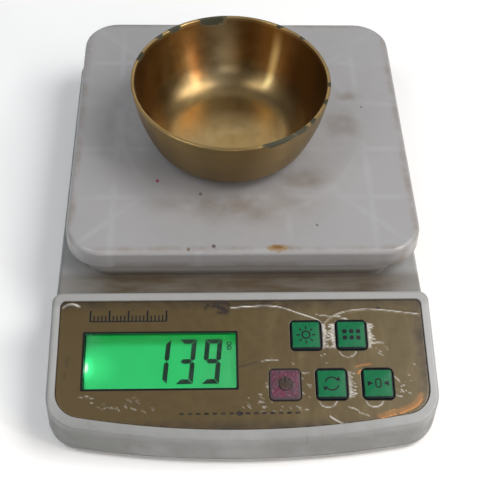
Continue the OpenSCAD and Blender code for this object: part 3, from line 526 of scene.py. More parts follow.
def light_guide():
    """Backlit guide: green, brightest at the lamp, darker along its upper edge and in its far corner."""
    s = Surface("light_guide", PANEL, Roughness=0.5, Emission_Strength=1.0)
    low, high = box_in(PANEL, "light_guide")
    s.tone = s.mix(s.noise(18, 2), rgb(26, 176, 98), rgb(40, 184, 112))
    s.tint(s.fit(s.x, high.x - 30, high.x, 0, 0.75), 66, 158, 104)
    # Painted shadow of the film's upper edge: darker along the top.
    s.tint(s.fit(s.y, high.y - 6.5, high.y - 2.6, 0, 1), 1, 136, 56)
    s.tint(s.fit(s.y, low.y + 4, low.y + 2.4, 0, 0.7), 66, 190, 124)
    dim = s.both(s.fit(s.x, low.x + 10, low.x), s.fit(s.y, high.y - 13, high.y - 2))
    s.tint(s.both(dim, 0.6), 62, 140, 96)
    edge = s.fit(s.x, low.x + 1.4, low.x + 0.2)
    s.tint(s.both(edge, 0.6), 40, 104, 74)
    s.tint(s.spot((*LAMP_AT, high.z), (17, 12, 40), 1.0), 62, 226, 138)
    s.tint(s.spot((*LAMP_AT, high.z), (5, 7, 40), 1.0), 80, 255, 176)
    s.tint(s.spot((*LAMP_AT, high.z), (1.5, 3.2, 40), 0.8), 250, 255, 255)
    s.set("Emission Color", s.tone)
    s.bump(s.noise(1.2, 2), 0.01)
    return s.colour(rgb(20, 90, 50))


def lamp():
    s = Surface("lamp", PANEL, Roughness=0.3, Emission_Strength=1.0)
    s.tone = s.mix(s.noise(2, 2), rgb(24, 104, 62), rgb(30, 116, 70))
    s.tint(s.spot((*LAMP_AT, -4), (3, 3.2, 4), 1.0), 150, 255, 205)
    s.set("Emission Color", s.tone)
    return s.colour(rgb(30, 90, 56))


def segment_ink():
    s = Surface("segment_ink", Roughness=0.35)
    return s.colour(s.mix(s.noise(3, 3), rgb(20, 44, 36), rgb(30, 58, 46)))


def plain(name, dark, light, size, roughness=(0.4, 0.6), relief=0.01, relief_size=0.8, **sockets):
    """Surface whose colour, roughness and relief vary a little from place to place."""
    s = Surface(name, **sockets)
    s.tone = s.mix(s.fit(s.noise(size, 4), 0.3, 0.7), dark, light)
    s.set("Roughness", s.fit(s.noise(size * 0.6, 3), 0.3, 0.7, *roughness))
    s.bump(s.noise(relief_size, 3), relief)
    return s.colour(s.tone)


def metal(name, dark, light, roughness, relief=0.01):
    return plain(name, dark, light, 2, roughness, relief, 0.5, Metallic=1.0)


def foot_rubber():
    s = Surface("foot_rubber", Roughness=0.8)
    s.tone = s.mix(s.noise(6, 4), rgb(34, 34, 35), rgb(52, 51, 50))
    s.tint(s.fit(s.noise(3, 5), 0.5, 0.75, 0, 0.5), 96, 92, 86)
    s.bump(s.noise(0.5, 3), 0.04)
    return s.colour(s.tone)


def board_green():
    """Solder mask over copper tracks."""
    s = Surface("board_green", PANEL, Roughness=0.3, Coat_Weight=0.3)
    bricks = s.node("TexBrick")
    s.put(bricks.inputs["Vector"], s.stretched((0.16, 0.3, 1)))
    bricks.inputs["Scale"].default_value = 1.0
    bricks.inputs["Mortar Size"].default_value = 0.05
    tracks = bricks.outputs["Fac"]
    s.tone = s.mix(s.noise(20, 3), rgb(16, 84, 46), rgb(20, 96, 54))
    s.tint(s.both(tracks, 0.7), 48, 140, 78)
    s.tint(s.specks(5, 0.7, 0.5), 190, 190, 182)
    s.set("Roughness", s.fit(s.noise(5, 3), 0.3, 0.7, 0.25, 0.4))
    s.bump(tracks, 0.035)
    return s.colour(s.tone)


def beam_aluminium():
    """Milled aluminium, with tool marks across the beam."""
    s = Surface("beam_aluminium", Metallic=1.0)
    marks = s.noise(0.8, 3, 0.6, s.stretched((1, 0.05, 0.05)))
    s.tone = s.mix(s.noise(12, 3), rgb(186, 188, 192), rgb(206, 208, 210))
    s.set("Roughness", s.fit(marks, 0.3, 0.7, 0.25, 0.42))
    s.bump(marks, 0.01)
    return s.colour(s.tone)


def cell_jacket():
    """Plain printed sleeve of a battery cell, with bare metal ends."""
    s = Surface("cell_jacket")
    end = box_in(WORLD, "battery_cells")[1].x
    along = s.math("ABSOLUTE", s.x)
    ends = s.fit(along, end - 2.2, end - 1.6)
    s.tone = s.mix(s.noise(9, 3), rgb(34, 58, 118), rgb(42, 70, 134))
    s.tint(s.fit(along, 16.5, 16.8), 176, 132, 70)
    s.tint(ends, 196, 196, 196)
    s.set("Metallic", ends)
    s.set("Roughness", s.fit(s.noise(4, 3), 0.3, 0.7, 0.22, 0.34))
    s.bump(s.noise(6, 2), 0.02)
    return s.colour(s.tone)


def floor_paper():
    s = Surface("floor_paper", Roughness=0.9)
    s.tone = s.mix(s.noise(80, 3), rgb(246, 246, 246), rgb(250, 250, 250))
    s.bump(s.noise(1.5, 3), 0.02)
    return s.colour(s.tone)


# ---- Making pieces ----

def add_piece(name, mesh, node, material, replaces=True):
    """Object on the body of a CAD node; when replaces is true the node is hidden and the object stands for it."""
    piece = bpy.data.objects.new(name, mesh)
    bpy.context.scene.collection.objects.link(piece)
    mesh.materials.clear()
    mesh.materials.append(material)
    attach(piece, BODY_OF[node])
    if replaces:
        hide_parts(node)
    return piece


def make_mesh(name, points, faces, matrix=WORLD):
    """Smooth mesh of points given in millimetres in the frame of matrix."""
    mesh = bpy.data.meshes.new(name)
    mesh.from_pydata([(matrix @ Vector(point)) * MM for point in points], [], faces)
    mesh.shade_smooth()
    return mesh


def loft(name, rings, matrix=WORLD):
    """Closed mesh through rings of equal length; the first and last rings are filled."""
    count = len(rings[0])
    points = [point for ring in rings for point in ring]
    faces = [tuple(reversed(range(count)))]
    for start in range(0, len(points) - count, count):
        for i in range(count):
            j = (i + 1) % count
            faces.append((start + i, start + j, start + count + j, start + count + i))
    faces.append(tuple(range(len(points) - count, len(points))))
    return make_mesh(name, points, faces, matrix)


def arc(centre, radius, start, end, steps):
    """Points of an arc between two angles in degrees."""
    turns = [math.radians(start + (end - start) * i / steps) for i in range(steps + 1)]
    return [(centre[0] + radius * math.cos(t), centre[1] + radius * math.sin(t)) for t in turns]


def rounded(centre, width, length, radius, steps=6):
    """Rounded rectangle, counter-clockwise."""
    outline = []
    for quarter, (sx, sy) in enumerate(((1, 1), (-1, 1), (-1, -1), (1, -1))):
        corner = (centre[0] + sx * (width / 2 - radius), centre[1] + sy * (length / 2 - radius))
        outline += arc(corner, radius, 90 * quarter, 90 * quarter + 90, steps)
    return outline


def bowed(half_width, front, back_r, front_r, bow):
    """Outline with straight sides and back, from y 0 to front, and a front bowed to the radius bow."""
    xc = half_width - front_r
    centre = (0, front + bow)
    yc = centre[1] - math.sqrt((bow - front_r) ** 2 - xc ** 2)
    turn = math.degrees(math.atan2(yc - centre[1], xc))
    outline = arc((half_width - back_r, -back_r), back_r, 0, 90, 6)
    outline += arc((back_r - half_width, -back_r), back_r, 90, 180, 6)
    outline += arc((-xc, yc), front_r, 180, 180 - turn, 12)
    outline += arc(centre, bow, 180 - turn, 360 + turn, 60)[1:-1]
    return outline + arc((xc, yc), front_r, 360 + turn, 360, 12)


def soften(node, width, material, reshape=None):
    """Copy of a CAD node with its sharp edges rounded, which stands for the node."""
    mesh = frame["nodes"][node].data.copy()
    for name in ("custom_normal", "sharp_edge", "sharp_face"):
        if name in mesh.attributes:
            mesh.attributes.remove(mesh.attributes[name])
    form = bmesh.new()
    form.from_mesh(mesh)
    if reshape:
        reshape(form)
    bmesh.ops.remove_doubles(form, verts=form.verts, dist=0.002 * MM)
    bmesh.ops.dissolve_limit(form, angle_limit=math.radians(1), verts=form.verts, edges=form.edges)
    for face in form.faces:
        face.smooth = True
    form.to_mesh(mesh)
    form.free()
    piece = add_piece(node + "_moulded", mesh, node, material)
    edges = piece.modifiers.new("edges", "BEVEL")
    edges.width = width * MM
    edges.segments = 2
    edges.limit_method = "ANGLE"
    edges.angle_limit = math.radians(30)
    edges.use_clamp_overlap = False
    piece.modifiers.new("normals", "WEIGHTED_NORMAL")


def lower_free_end(form):
    """Cut the load cell's top down under the post by a little more than the platform's travel."""
    start = box_in(WORLD, "load_post")[0].x - 0.5
    top = box_in(WORLD, "load_cell")[1].z
    travel = 0.65
    for x in (start, start + 0.05):
        whole = form.verts[:] + form.edges[:] + form.faces[:]
        bmesh.ops.bisect_plane(form, geom=whole, plane_co=(x * MM, 0, 0), plane_no=(1, 0, 0))
    for vert in form.verts:
        if vert.co.x > (start + 0.03) * MM and vert.co.z > (top - 0.1) * MM:
            vert.co.z -= travel * MM


# ---- Bowl ----

def bowl_side(foot_r, low, knee, top_r, top):
    """Half section of a bowl's side: rounded knee, then a tapered wall with a slight bulge."""
    bulge = 1.1
    lean = math.atan2(top - low, top_r - foot_r)
    turn = lean - math.atan(math.pi * bulge / (top - low - knee))
    centre = Vector((foot_r + knee / math.tan(lean) - knee / math.sin(lean), low + knee))
    start = centre + knee * Vector((math.sin(turn), -math.cos(turn)))
    points = arc(centre, knee, -90, math.degrees(turn) - 90, 14)
    steps = 24
    for i in range(1, steps):
        along = start.lerp(Vector((top_r, top)), i / steps)
        points.append((along.x + bulge * math.sin(math.pi * i / steps), along.y))
    return points


def add_bowl():
    """Bowl turned about its axis: foot, knee, tapered wall with a slight bulge, and a ground rim."""
    radius = (BOWL_HIGH.x - BOWL_LOW.x) / 2
    height = BOWL_HIGH.z - BOWL_LOW.z
    wall, rim, lip = 1.2, 1.7, 0.35
    foot_r, inner_foot_r = 38.3, 37.4
    knee, inner_knee = 15, 17
    outer = bowl_side(foot_r, 0, knee, radius, height)
    inner = bowl_side(inner_foot_r, wall, inner_knee, radius - rim, height)
    brim = arc((radius - lip, height - lip), lip, 0, 90, 4)
    brim += arc((radius - rim + lip, height - lip), lip, 90, 180, 4)
    floor = [(inner[0][0] * share, wall) for share in (0.75, 0.5, 0.25, 0.05)]
    under = [(outer[0][0] * share, 0) for share in (0.05, 0.5, 0.9)]
    segments = 192
    rings = []
    for r, z in under + outer + brim + inner[::-1] + floor:
        turns = [2 * math.pi * i / segments for i in range(segments)]
        rings.append([(r * math.cos(t), r * math.sin(t), z) for t in turns])
    mesh = loft("turned_bowl", rings, Matrix.Translation(BOWL_MID))
    outside = np.repeat(np.arange(len(rings)) < len(under) + len(outer), segments)
    mesh.attributes.new("outside", "FLOAT", "POINT").data.foreach_set("value", outside.astype(np.float32))
    add_piece("turned_bowl", mesh, "brass_bowl", bowl_brass())


# ---- Keys ----

FLANGE = 1.1
FLANGE_T = 0.7
KEY_R = 1.8
KEY_LIFT = 0.9
KEY_DOME = 0.45


def key_middle(name):
    low, high = box_in(PANEL, "key_" + name)
    return (low + high) / 2


def dome(x, y, half_width, half_length):
    """Height of a key's pillowed top above its edge."""
    return KEY_DOME * (1 - abs(x / half_width) ** 2.6) * (1 - abs(y / half_length) ** 2.6)


def add_key(name):
    """Key in one closed form: stem, flange under the film, side and pillowed top."""
    low, high = box_in(PANEL, "key_" + name)
    middle = (low + high) / 2
    width = high.x - low.x - 2 * FLANGE
    length = high.y - low.y - 2 * FLANGE
    stem_r = 2.0
    flange_top = -FILM_T - 0.05
    count = 4 * 7

    def circle(radius, z):
        turns = [2 * math.pi * (i + 0.5) / count for i in range(count)]
        return [(middle.x + radius * math.cos(t), middle.y + radius * math.sin(t), z) for t in turns]

    def square(inset, z, radius=KEY_R):
        radius = max(radius, 0.1)
        flat = rounded((middle.x, middle.y), width - 2 * inset, length - 2 * inset, radius)
        return [(x, y, z) for x, y in flat]

    rings = [circle(0.2, low.z), circle(stem_r, low.z), circle(stem_r, flange_top - FLANGE_T)]
    rings.append(square(-FLANGE, flange_top - FLANGE_T, KEY_R + 0.8))
    rings.append(square(-FLANGE, flange_top, KEY_R + 0.8))
    rings.append(square(0, flange_top))
    side_top = KEY_LIFT - KEY_DOME - 0.5
    rings.append(square(0, side_top))
    for step in range(1, 5):
        turn = math.radians(90 * step / 4)
        rings.append(square(0.5 * (1 - math.cos(turn)), side_top + 0.5 * math.sin(turn), KEY_R - 0.2))
    inner_w, inner_l = width / 2 - 0.5, length / 2 - 0.5
    for share in (0.94, 0.86, 0.76, 0.64, 0.5, 0.35, 0.2, 0.05):
        flat = rounded((0, 0), 2 * inner_w * share, 2 * inner_l * share, (KEY_R - 0.2) * share)
        rings.append([
            (middle.x + x, middle.y + y, KEY_LIFT - KEY_DOME + dome(x, y, inner_w, inner_l)) for x, y in flat
        ])
    mesh = loft("pad_" + name, rings, PANEL)
    worn = name == "power"
    add_piece("pad_" + name, mesh, "key_" + name, key_film("key_film_" + name, middle, worn))


def bar(start, end, width):
    """Outline of a straight stroke."""
    along = (Vector(end) - Vector(start)).normalized() * width / 2
    side = Vector((-along.y, along.x))
    a, b = Vector(start), Vector(end)
    return [a - side, b - side, b + side, a + side]


def ring_strokes(centre, radius, width, start=0, end=360):
    """Ring or part of one, as short bars."""
    points = arc(centre, radius, start, end, 20)
    return [bar(a, b, width) for a, b in zip(points, points[1:])]


def icon_shapes(name):
    """Generic picture for a key, in millimetres about its middle."""
    if name == "light":
        shapes = ring_strokes((0, 0), 1.7, 0.7)
        for i in range(8):
            turn = math.radians(45 * i)
            ray = Vector((math.cos(turn), math.sin(turn)))
            shapes.append(bar(ray * 2.7, ray * 4.1, 0.6))
        return shapes
    if name == "count":
        return [rounded((x, y), 1.9, 1.9, 0.5) for x in (-3, 0, 3) for y in (-1.5, 1.5)]
    if name == "power":
        return ring_strokes((0, 0), 2.8, 0.6, 120, 420) + [bar((0, 0.8), (0, 3.7), 0.6)]
    if name == "mode":
        arrows = ring_strokes((0, 0), 2.9, 0.6, 25, 165) + ring_strokes((0, 0), 2.9, 0.6, 205, 345)
        tips = [[(1.6, 1.6), (3.9, 1.2), (3.2, 3.3)], [(-1.6, -1.6), (-3.9, -1.2), (-3.2, -3.3)]]
        return arrows + tips
    oval = rounded((0, 0), 2.2, 3.8, 1)
    zero = [bar(a, b, 0.6) for a, b in zip(oval, oval[1:] + oval[:1])]
    arrows = [[(-4.6, 1.2), (-2.2, 0), (-4.6, -1.2)], [(4.6, -1.2), (2.2, 0), (4.6, 1.2)]]
    return zero + arrows


def add_print(name, shapes, node, material, height_at, matrix=PANEL, thick=0.06):
    """Thin raised print: each flat shape follows the surface given by height_at."""
    form = bmesh.new()
    for shape in shapes:
        form.faces.new([form.verts.new((point[0], point[1], 0)) for point in shape])
    bmesh.ops.remove_doubles(form, verts=form.verts, dist=1e-4)
    bmesh.ops.recalc_face_normals(form, faces=form.faces)
    for face in form.faces:
        if face.normal.z < 0:
            face.normal_flip()
    made = bmesh.ops.extrude_face_region(form, geom=list(form.faces))
    lifted = {item for item in made["geom"] if isinstance(item, bmesh.types.BMVert)}
    for vertex in form.verts:
        lift = height_at(vertex.co.x, vertex.co.y) + (thick / 3 if vertex in lifted else -thick)
        vertex.co = (matrix @ Vector((vertex.co.x, vertex.co.y, lift))) * MM
    bmesh.ops.recalc_face_normals(form, faces=form.faces)
    mesh = bpy.data.meshes.new(name)
    form.to_mesh(mesh)
    form.free()
    add_piece(name, mesh, node, material, replaces=False)


def add_icon(name, material):
    low, high = box_in(PANEL, "key_" + name)
    middle = (low + high) / 2
    inner_w = (high.x - low.x) / 2 - FLANGE - 0.5
    inner_l = (high.y - low.y) / 2 - FLANGE - 0.5

    def height_at(x, y):
        return KEY_LIFT - KEY_DOME + dome(x, y, inner_w, inner_l)

    at_key = PANEL @ Matrix.Translation((middle.x, middle.y, 0))
    add_print("icon_" + name, icon_shapes(name), "key_" + name, material, height_at, at_key)


# ---- Panel film ----

GRID = 0.5


def inside(points, outline):
    """Which points lie in a closed outline."""
    hit = np.zeros(len(points), bool)
    for (x1, y1), (x2, y2) in zip(outline, outline[1:] + outline[:1]):
        crosses = (y1 > points[:, 1]) != (y2 > points[:, 1])
        with np.errstate(divide="ignore", invalid="ignore"):
            at = (x2 - x1) * (points[:, 1] - y1) / (y2 - y1) + x1
        hit ^= crosses & (points[:, 0] < at)
    return hit


def path_distance(points, path):
    """Distance of each point from an open path."""
    nearest = np.full(len(points), np.inf)
    for a, b in zip(path, path[1:]):
        a, b = np.array(a, float), np.array(b, float)
        along = b - a
        share = np.clip((points - a) @ along / max(along @ along, 1e-9), 0, 1)
        nearest = np.minimum(nearest, np.linalg.norm(points - a - share[:, None] * along, axis=1))
    return nearest


def curve(controls):
    """Smooth path through a few points."""
    steps = 8
    padded = [controls[0], *controls, controls[-1]]
    path = []
    for p0, p1, p2, p3 in zip(padded, padded[1:], padded[2:], padded[3:]):
        p0, p1, p2, p3 = (Vector(p) for p in (p0, p1, p2, p3))
        for i in range(steps):
            t = i / steps
            path.append(0.5 * (2 * p1 + (p2 - p0) * t + (2 * p0 - 5 * p1 + 4 * p2 - p3) * t * t
                               + (3 * p1 - p0 - 3 * p2 + p3) * t ** 3))
    return [tuple(p) for p in path] + [tuple(controls[-1])]


def covered(points, strokes):
    """Strongest cover of any stroke, each given as (width, strength, path)."""
    cover = np.zeros(len(points))
    for width, strength, path in strokes:
        cover = np.maximum(cover, strength * np.clip(1.3 - path_distance(points, path) / (width / 2), 0, 1))
    return cover


def film_strokes(draws):
    """Scratches and painted highlights on the film: white lines along its creases, reflection arcs under keys, and
    scratches by the keys and along its lower edge: (width, strength, path).
    """
    keys = {name: key_middle(name) for name in KEYS}
    strokes = [
        # The first three are the creases; their white lines are painted highlights.
        (0.5, 0.9, curve([(-5, -3.4), (9, -2.6), (17, -3.3), (25.5, -6.4), (32, -8.8), (35, -10.6)])),
        (0.55, 0.6, curve([(36.5, -11), (40, -8), (46.5, -5.5), (54.5, -4.6), (63, -5), (78.5, -7)])),
        (0.9, 0.9, curve([(-79.3, -2.9), (-77.5, -1.5), (-75, -1.1), (-72, -2.3)])),
        (0.6, 0.7, curve([(36.5, -54), (39, -55.7), (42.5, -57.6)])),
        (0.5, 0.5, curve([(44.7, -50), (47, -50.6), (49, -51.7)])),
        (0.5, 0.5, curve([(49, -52.3), (53, -53.8)])),
        (0.5, 0.5, curve([(64.3, -35.7), (66, -36.8), (67.6, -38.7)])),
        (0.5, 0.45, curve([(65.2, -45), (68, -45.4)])),
        (0.6, 0.6, curve([(55.6, -21.4), (59, -20.6), (62, -20.7)])),
        (0.4, 0.5, curve([(59.4, -25.4), (61.6, -26.7)])),
        (0.5, 0.6, curve([(8, -28.9), (12, -28.2), (15, -28.4)])),
    ]
    # Faint white arcs under three keys: painted reflections.
    for name in ("count", "mode", "tare"):
        middle = keys[name]
        sag = [(-5, -7.5), (-3.5, -9.4), (0, -10.3), (3.5, -9.4), (5, -7.6)]
        strokes.append((0.5, 0.6, curve([(middle.x + x * 0.75 - 2, middle.y + y) for x, y in sag])))
    hatched = (("light", 1, 1.0), ("count", -1, 0.9), ("count", 1, 0.8), ("mode", 1, 0.85))
    for name, side, strength in hatched:
        middle = keys[name]
        x = middle.x + side * 7.6
        haze = curve([(x, middle.y + 5), (x + side * 0.5, middle.y), (x, middle.y - 5.5)])
        strokes.append((1.6, 0.5 * strength, haze))
        for i in range(15):
            y = middle.y + 5.4 - 0.75 * i
            reach = draws.uniform(0.8, 2.8)
            start = x + side * draws.uniform(-0.4, 0.5)
            shown = strength * draws.uniform(0.6, 1)
            strokes.append((0.5, shown, [(start, y), (start + side * reach, y - 0.6)]))
    middle = keys["count"]
    for i in range(6):
        x, y = middle.x - 15 + 2.3 * i, middle.y + 10 - 0.4 * i
        strokes.append((0.4, 0.6, [(x, y), (x + draws.uniform(2, 4), y + draws.uniform(-0.6, 0.3))]))
    clusters = (
        (keys["power"].x - 9, keys["power"].y - 4, 4, 6, 14),
        (keys["power"].x + 9, keys["power"].y, 2.5, 6, 9),
        (18, -50.5, 12, 1.2, 12), (4, -47.5, 5, 2, 7), (-68, -45.5, 3, 2, 5), (-60.5, -48.3, 2.5, 1.5, 5),
        (-54, -49, 3.5, 0.8, 5), (-48, -47.5, 2.5, 3, 8), (-41.5, -49.5, 3, 1.2, 4), (61, -22, 3, 3, 5),
        (keys["tare"].x + 10, keys["tare"].y - 3, 2.5, 5, 5), (70, -30, 6, 14, 7), (30, -28, 12, 2, 6),
    )
    for x, y, wide, high, count in clusters:
        for _ in range(count):
            start = Vector((x + draws.uniform(-wide, wide), y + draws.uniform(-high, high)))
            turn = draws.uniform(-0.9, 0.5)
            step = Vector((math.cos(turn), math.sin(turn))) * draws.uniform(0.3, 2.2)
            width, shown = draws.uniform(0.25, 0.55), draws.uniform(0.15, 0.55)
            strokes.append((width, shown, [tuple(start), tuple(start + step)]))
    return strokes


SMUDGES = (
    (3.2, 1.0, curve([(-12.5, -1.9), (-9.5, -3.2), (-7, -4.9)])),
    (2.2, 1.0, curve([(-11.5, -1.0), (-8, -0.8), (-6, -1.8)])),
    (2.4, 0.9, curve([(-15, -1.8), (-11, -2.4)])),
    (1.6, 0.8, curve([(-16.2, -3.8), (-15.3, -2.4)])),
    (1.8, 0.9, curve([(-10.5, -5.8), (-7, -6)])),
    (1.6, 0.4, curve([(-76, -26.5), (-76.2, -30.2)])),
    (1.2, 0.4, curve([(-77, -33), (-76.8, -36)])),
    (1.3, 0.85, curve([(60.8, -3.7), (61.8, -4.4)])),
    (0.7, 0.75, curve([(-1.8, -31.6), (0.5, -30.7), (2.8, -30.1), (6, -29.2)])),
)
GLINTS = (
    (0.6, 0.8, curve([(54.5, -56.3), (60, -54.6), (64.5, -53.4)])),
    (0.6, 0.9, curve([(66.5, -53), (71, -51.3), (74.5, -49.3), (76.6, -46.8)])),
    (0.4, 0.5, curve([(60.5, -52.6), (64, -51.4), (68, -51)])),
    (2.6, 0.22, curve([(58, -54), (66, -52), (73, -49), (76.5, -45)])),
    (1.0, 0.8, curve([(50, -34.8), (51, -33.6)])),
    (0.7, 0.5, curve([(49, -31.8), (52, -31), (55.5, -30.6)])),
    (0.9, 0.8, curve([(44, -10.2), (46, -10.6)])),
)


def film_holes():
    """Window and key openings in the film."""
    low, high = box_in(PANEL, "display_window")
    middle = (low + high) / 2
    holes = [rounded((middle.x, middle.y), high.x - low.x + 0.1, high.y - low.y + 0.1, 0.6)]
    for name in KEYS:
        low, high = box_in(PANEL, "key_" + name)
        middle = (low + high) / 2
        width = high.x - low.x - 2 * FLANGE + 0.6
        length = high.y - low.y - 2 * FLANGE + 0.6
        holes.append(rounded((middle.x, middle.y), width, length, KEY_R + 0.3))
    return holes


def fine_sheet(outline, holes, step):
    """Triangles that fill an outline around its holes, with a point every step millimetres."""
    loops = [outline, *holes]
    corners = [tuple(point) for loop in loops for point in loop]
    edges, start = [], 0
    for loop in loops:
        edges += [(start + i, start + (i + 1) % len(loop)) for i in range(len(loop))]
        start += len(loop)
    xs, ys = zip(*outline)
    rows = np.arange(min(ys), max(ys), step)
    grid = np.array([(x, y) for x in np.arange(min(xs), max(xs), step) for y in rows])
    keep = inside(grid, outline)
    for loop in loops:
        keep &= path_distance(grid, [*loop, loop[0]]) > 0.4 * step
    for hole in holes:
        keep &= ~inside(grid, hole)
    points = [Vector(point) for point in corners] + [Vector(point) for point in grid[keep]]
    verts, _, faces, *_ = geometry.delaunay_2d_cdt(points, edges, [], 0, 1e-4)
    verts = np.array([tuple(vert) for vert in verts])
    middles = verts[np.array(faces)].mean(1)
    keep = inside(middles, outline)
    for hole in holes:
        keep &= ~inside(middles, hole)
    return verts, [face for face, kept in zip(faces, keep) if kept]


def add_film():
    """Printed film over the whole panel, with real creases; its marks, painted highlights and reflections are
    painted on its points.
    """
    low, high = box_in(PANEL, "panel_overlay")
    back_r, front_r, bow = 2.4, 12, 415
    outline = bowed(high.x, low.y, back_r, front_r, bow)
    holes = film_holes()
    verts, faces = fine_sheet(outline, holes, GRID)
    draws = random.Random(7)
    strokes = film_strokes(draws)
    creases = strokes[:3]
    ridge = covered(verts, [(1.6, 1, path) for _, _, path in creases])
    height = 0.10 * ridge - 0.10
    edge = path_distance(verts, [*outline, outline[0]])
    height = np.where(edge < 0.3, -0.16, height)
    count = len(verts)
    points = [(x, y, z) for (x, y), z in zip(verts, height)] + [(x, y, -FILM_T) for x, y in verts]
    sides = {}
    for face in faces:
        for a, b in zip(face, face[1:] + face[:1]):
            sides[(a, b)] = None
    open_sides = [(a, b) for a, b in sides if (b, a) not in sides]
    skin = list(faces) + [tuple(reversed([i + count for i in face])) for face in faces]
    skin += [(b, a, a + count, b + count) for a, b in open_sides]
    mesh = make_mesh("printed_film", points, skin, PANEL)
    near_keys = np.minimum.reduce([path_distance(verts, [*hole, hole[0]]) for hole in holes[1:]])
    marks = {
        "scratch_and_highlight": covered(verts, strokes),
        "smudge": covered(verts, SMUDGES),
        "glint": covered(verts, GLINTS),
        "print": np.clip((0.35 - near_keys) * 4, 0, 1),
    }
    for name, cover in marks.items():
        attribute = mesh.attributes.new(name, "FLOAT", "POINT")
        attribute.data.foreach_set("value", np.tile(cover, 2).astype(np.float32))
    add_piece("printed_film", mesh, "panel_overlay", panel_film())


# ---- Prints on the film and the display ----

RULER_AT = (-67, -9.6)
RULER_W = 33.5
RULE_AT = (-27.5, -52.2)
RULE_W = 51
FRAME_W = 0.95


def ruler_shapes():
    """Row of graduation marks, every fifth one long."""
    ticks = 21
    pitch = RULER_W / (ticks - 1)
    shapes = [bar(RULER_AT, (RULER_AT[0] + RULER_W, RULER_AT[1]), 0.5)]
    for i in range(ticks):
        x = RULER_AT[0] + i * pitch
        tall = 5.2 if i % 5 == 0 else 2.8
        shapes.append(bar((x, RULER_AT[1]), (x, RULER_AT[1] + tall), 0.75 if i % 5 == 0 else 0.55))
    return shapes


def rule_shapes():
    """Row of small dashes with a diamond in the middle."""
    dashes = 14
    pitch = RULE_W / (2 * dashes + 1)
    middle = RULE_AT[0] + RULE_W / 2
    y = RULE_AT[1]
    shapes = [[(middle - 2, y), (middle, y - 1.3), (middle + 2, y), (middle, y + 1.3)]]
    for i in range(dashes + 1):
        x = RULE_AT[0] + 2 * i * pitch
        if abs(x + pitch / 2 - middle) > 3:
            shapes.append(bar((x, y), (x + pitch * 1.1, y), 0.9))
    return shapes


def frame_shapes():
    """Black frame round the display window."""
    low, high = box_in(PANEL, "display_window")
    middle = (low + high) / 2
    size = high - low
    inner = rounded((middle.x, middle.y), size.x, size.y, 0.6)
    outer = rounded((middle.x, middle.y), size.x + 2 * FRAME_W, size.y + 2 * FRAME_W, 0.6)
    return [[outer[i - 1], outer[i], inner[i], inner[i - 1]] for i in range(len(outer))]


def unit_shapes():
    """Small unit mark at the upper right of the digits: two rings, one over the other."""
    rings = []
    for y in (-19.9, -21.9):
        outline = rounded((-5.9, y), 1.7, 1.5, 0.7, 4)
        rings += [bar(a, b, 0.5) for a, b in zip(outline, outline[1:] + outline[:1])]
    return rings


def add_prints(segments):
    """Prints on the film, pictures on the keys, and the unit mark in the material of the segments."""
    dark = plain("print_ink", rgb(10, 13, 20), rgb(20, 24, 32), 4, (0.4, 0.55), Specular_IOR_Level=0.2)
    faint = plain("faint_ink", rgb(24, 22, 22), rgb(52, 46, 40), 3, (0.4, 0.55), Specular_IOR_Level=0.2)
    add_print("print_ruler", ruler_shapes(), "panel_overlay", dark, lambda x, y: -0.08)
    black = plain("frame_ink", rgb(5, 8, 10), rgb(12, 16, 18), 4, Specular_IOR_Level=0.2)
    add_print("print_frame", frame_shapes(), "panel_overlay", black, lambda x, y: -0.1)
    add_print("print_rule", rule_shapes(), "panel_overlay", faint, lambda x, y: -0.08)
    for name in KEYS:
        add_icon(name, faint if name == "power" else dark)
    top = box_in(PANEL, "lcd_segments")[1].z
    add_print("unit_mark", unit_shapes(), "lcd_segments", segments, lambda x, y: top - 0.05, thick=0.04)


# ---- Assembly ----

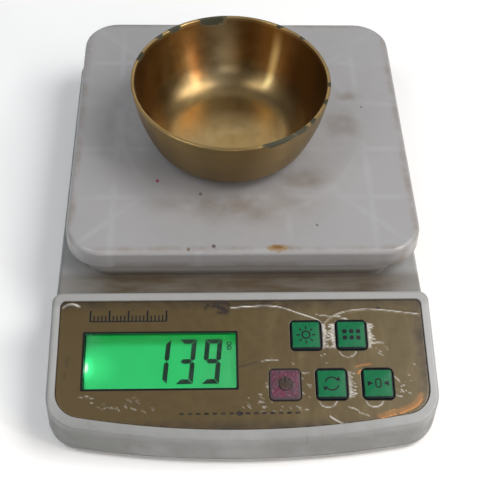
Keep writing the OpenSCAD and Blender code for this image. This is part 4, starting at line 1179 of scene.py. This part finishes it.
def dress_nodes(segments, aluminium):
    """Materials of the CAD nodes that show as they are."""
    steel = metal("screw_steel", rgb(150, 150, 154), rgb(178, 178, 182), (0.25, 0.4))
    nickel = metal("contact_nickel", rgb(176, 172, 164), rgb(196, 192, 184), (0.2, 0.32), 0.005)
    black = plain("black_moulding", rgb(26, 26, 28), rgb(38, 38, 40), 3, (0.4, 0.55), 0.02, 0.4)
    jacket = plain("wire_jacket", rgb(24, 24, 26), rgb(36, 36, 38), 5, (0.45, 0.6), 0.02, 0.7)
    silicone = plain("gauge_silicone", rgb(214, 212, 202), rgb(226, 224, 214), 5, (0.5, 0.7), 0.06, 2)
    plunger = plain("plunger_red", rgb(150, 34, 26), rgb(170, 44, 34), 1, (0.4, 0.5), 0.01, 0.4)
    dressed = {
        "display_window": clear("window_film", rgb(250, 255, 250), 0.04),
        "lcd_glass": clear("lcd_glass", rgb(246, 255, 248), 0.02),
        "lcd_segments": segments,
        "lcd_holder": plain("inner_white", rgb(206, 206, 202), rgb(218, 218, 214), 8),
        "light_guide": light_guide(),
        "backlight_led": lamp(),
        "lcd_connector": plain("connector_rubber", rgb(66, 66, 68), rgb(96, 96, 98), 0.5, (0.6, 0.8)),
        "main_board": board_green(),
        "board_components": black,
        "chip_cover": plain("chip_resin", rgb(14, 14, 15), rgb(24, 24, 25), 4, (0.15, 0.3), 0.08, 3),
        "board_screws": steel,
        "tact_switches": black,
        "gauge_covers": silicone,
        "cell_spacer": aluminium,
        "cell_screws": steel,
        "cell_cable": plain("cable_jacket", rgb(120, 24, 20), rgb(140, 32, 26), 6, (0.45, 0.6), 0.03, 1),
        "battery_cells": cell_jacket(),
        "battery_springs": nickel,
        "battery_plates": nickel,
        "power_wires": jacket,
        "spider_screws": steel,
        "tray_screws": steel,
    }
    dressed.update({"plunger_" + name: plunger for name in KEYS})
    for node, material in dressed.items():
        holder = frame["nodes"][node]
        holder.data.materials.clear()
        holder.data.materials.append(material)


def add_mouldings(aluminium):
    """Rounded copies of the housing's and the platform's parts."""
    shell, base = shell_plastic(), base_plastic()
    black = plain("socket_black", rgb(20, 20, 22), rgb(32, 32, 34), 3, (0.4, 0.55), 0.02, 0.4)
    paint = plain("bracket_paint", rgb(26, 26, 28), rgb(36, 36, 38), 8, (0.35, 0.5), 0.03, 0.5)
    steel = metal("case_steel", rgb(140, 140, 144), rgb(170, 170, 174), (0.25, 0.45))
    finishes = (
        ("top_shell", 0.25, shell), ("base_shell", 0.3, base), ("battery_door", 0.2, base),
        ("platform_tray", 0.3, tray_plastic()), ("rubber_feet", 0.35, foot_rubber()),
        ("dc_socket", 0.2, black), ("case_screws", 0.12, steel), ("spider_bracket", 0.3, paint),
        ("load_post", 0.3, paint),
    )
    for node, width, material in finishes:
        soften(node, width, material)
    soften("load_cell", 0.15, aluminium, lower_free_end)


def add_floor():
    mesh = bpy.data.meshes.new("floor")
    reach = 3
    corners = [(-reach, -reach, 0), (reach, -reach, 0), (reach, reach, 0), (-reach, reach, 0)]
    mesh.from_pydata(corners, [], [(0, 1, 2, 3)])
    mesh.materials.append(floor_paper())
    floor = bpy.data.objects.new("floor", mesh)
    bpy.context.scene.collection.objects.link(floor)


add_camera()
add_studio()
add_floor()
ink, beam = segment_ink(), beam_aluminium()
dress_nodes(ink, beam)
add_mouldings(beam)
add_film()
add_prints(ink)
for key in KEYS:
    add_key(key)
add_bowl()

bpy.context.view_layer.update()
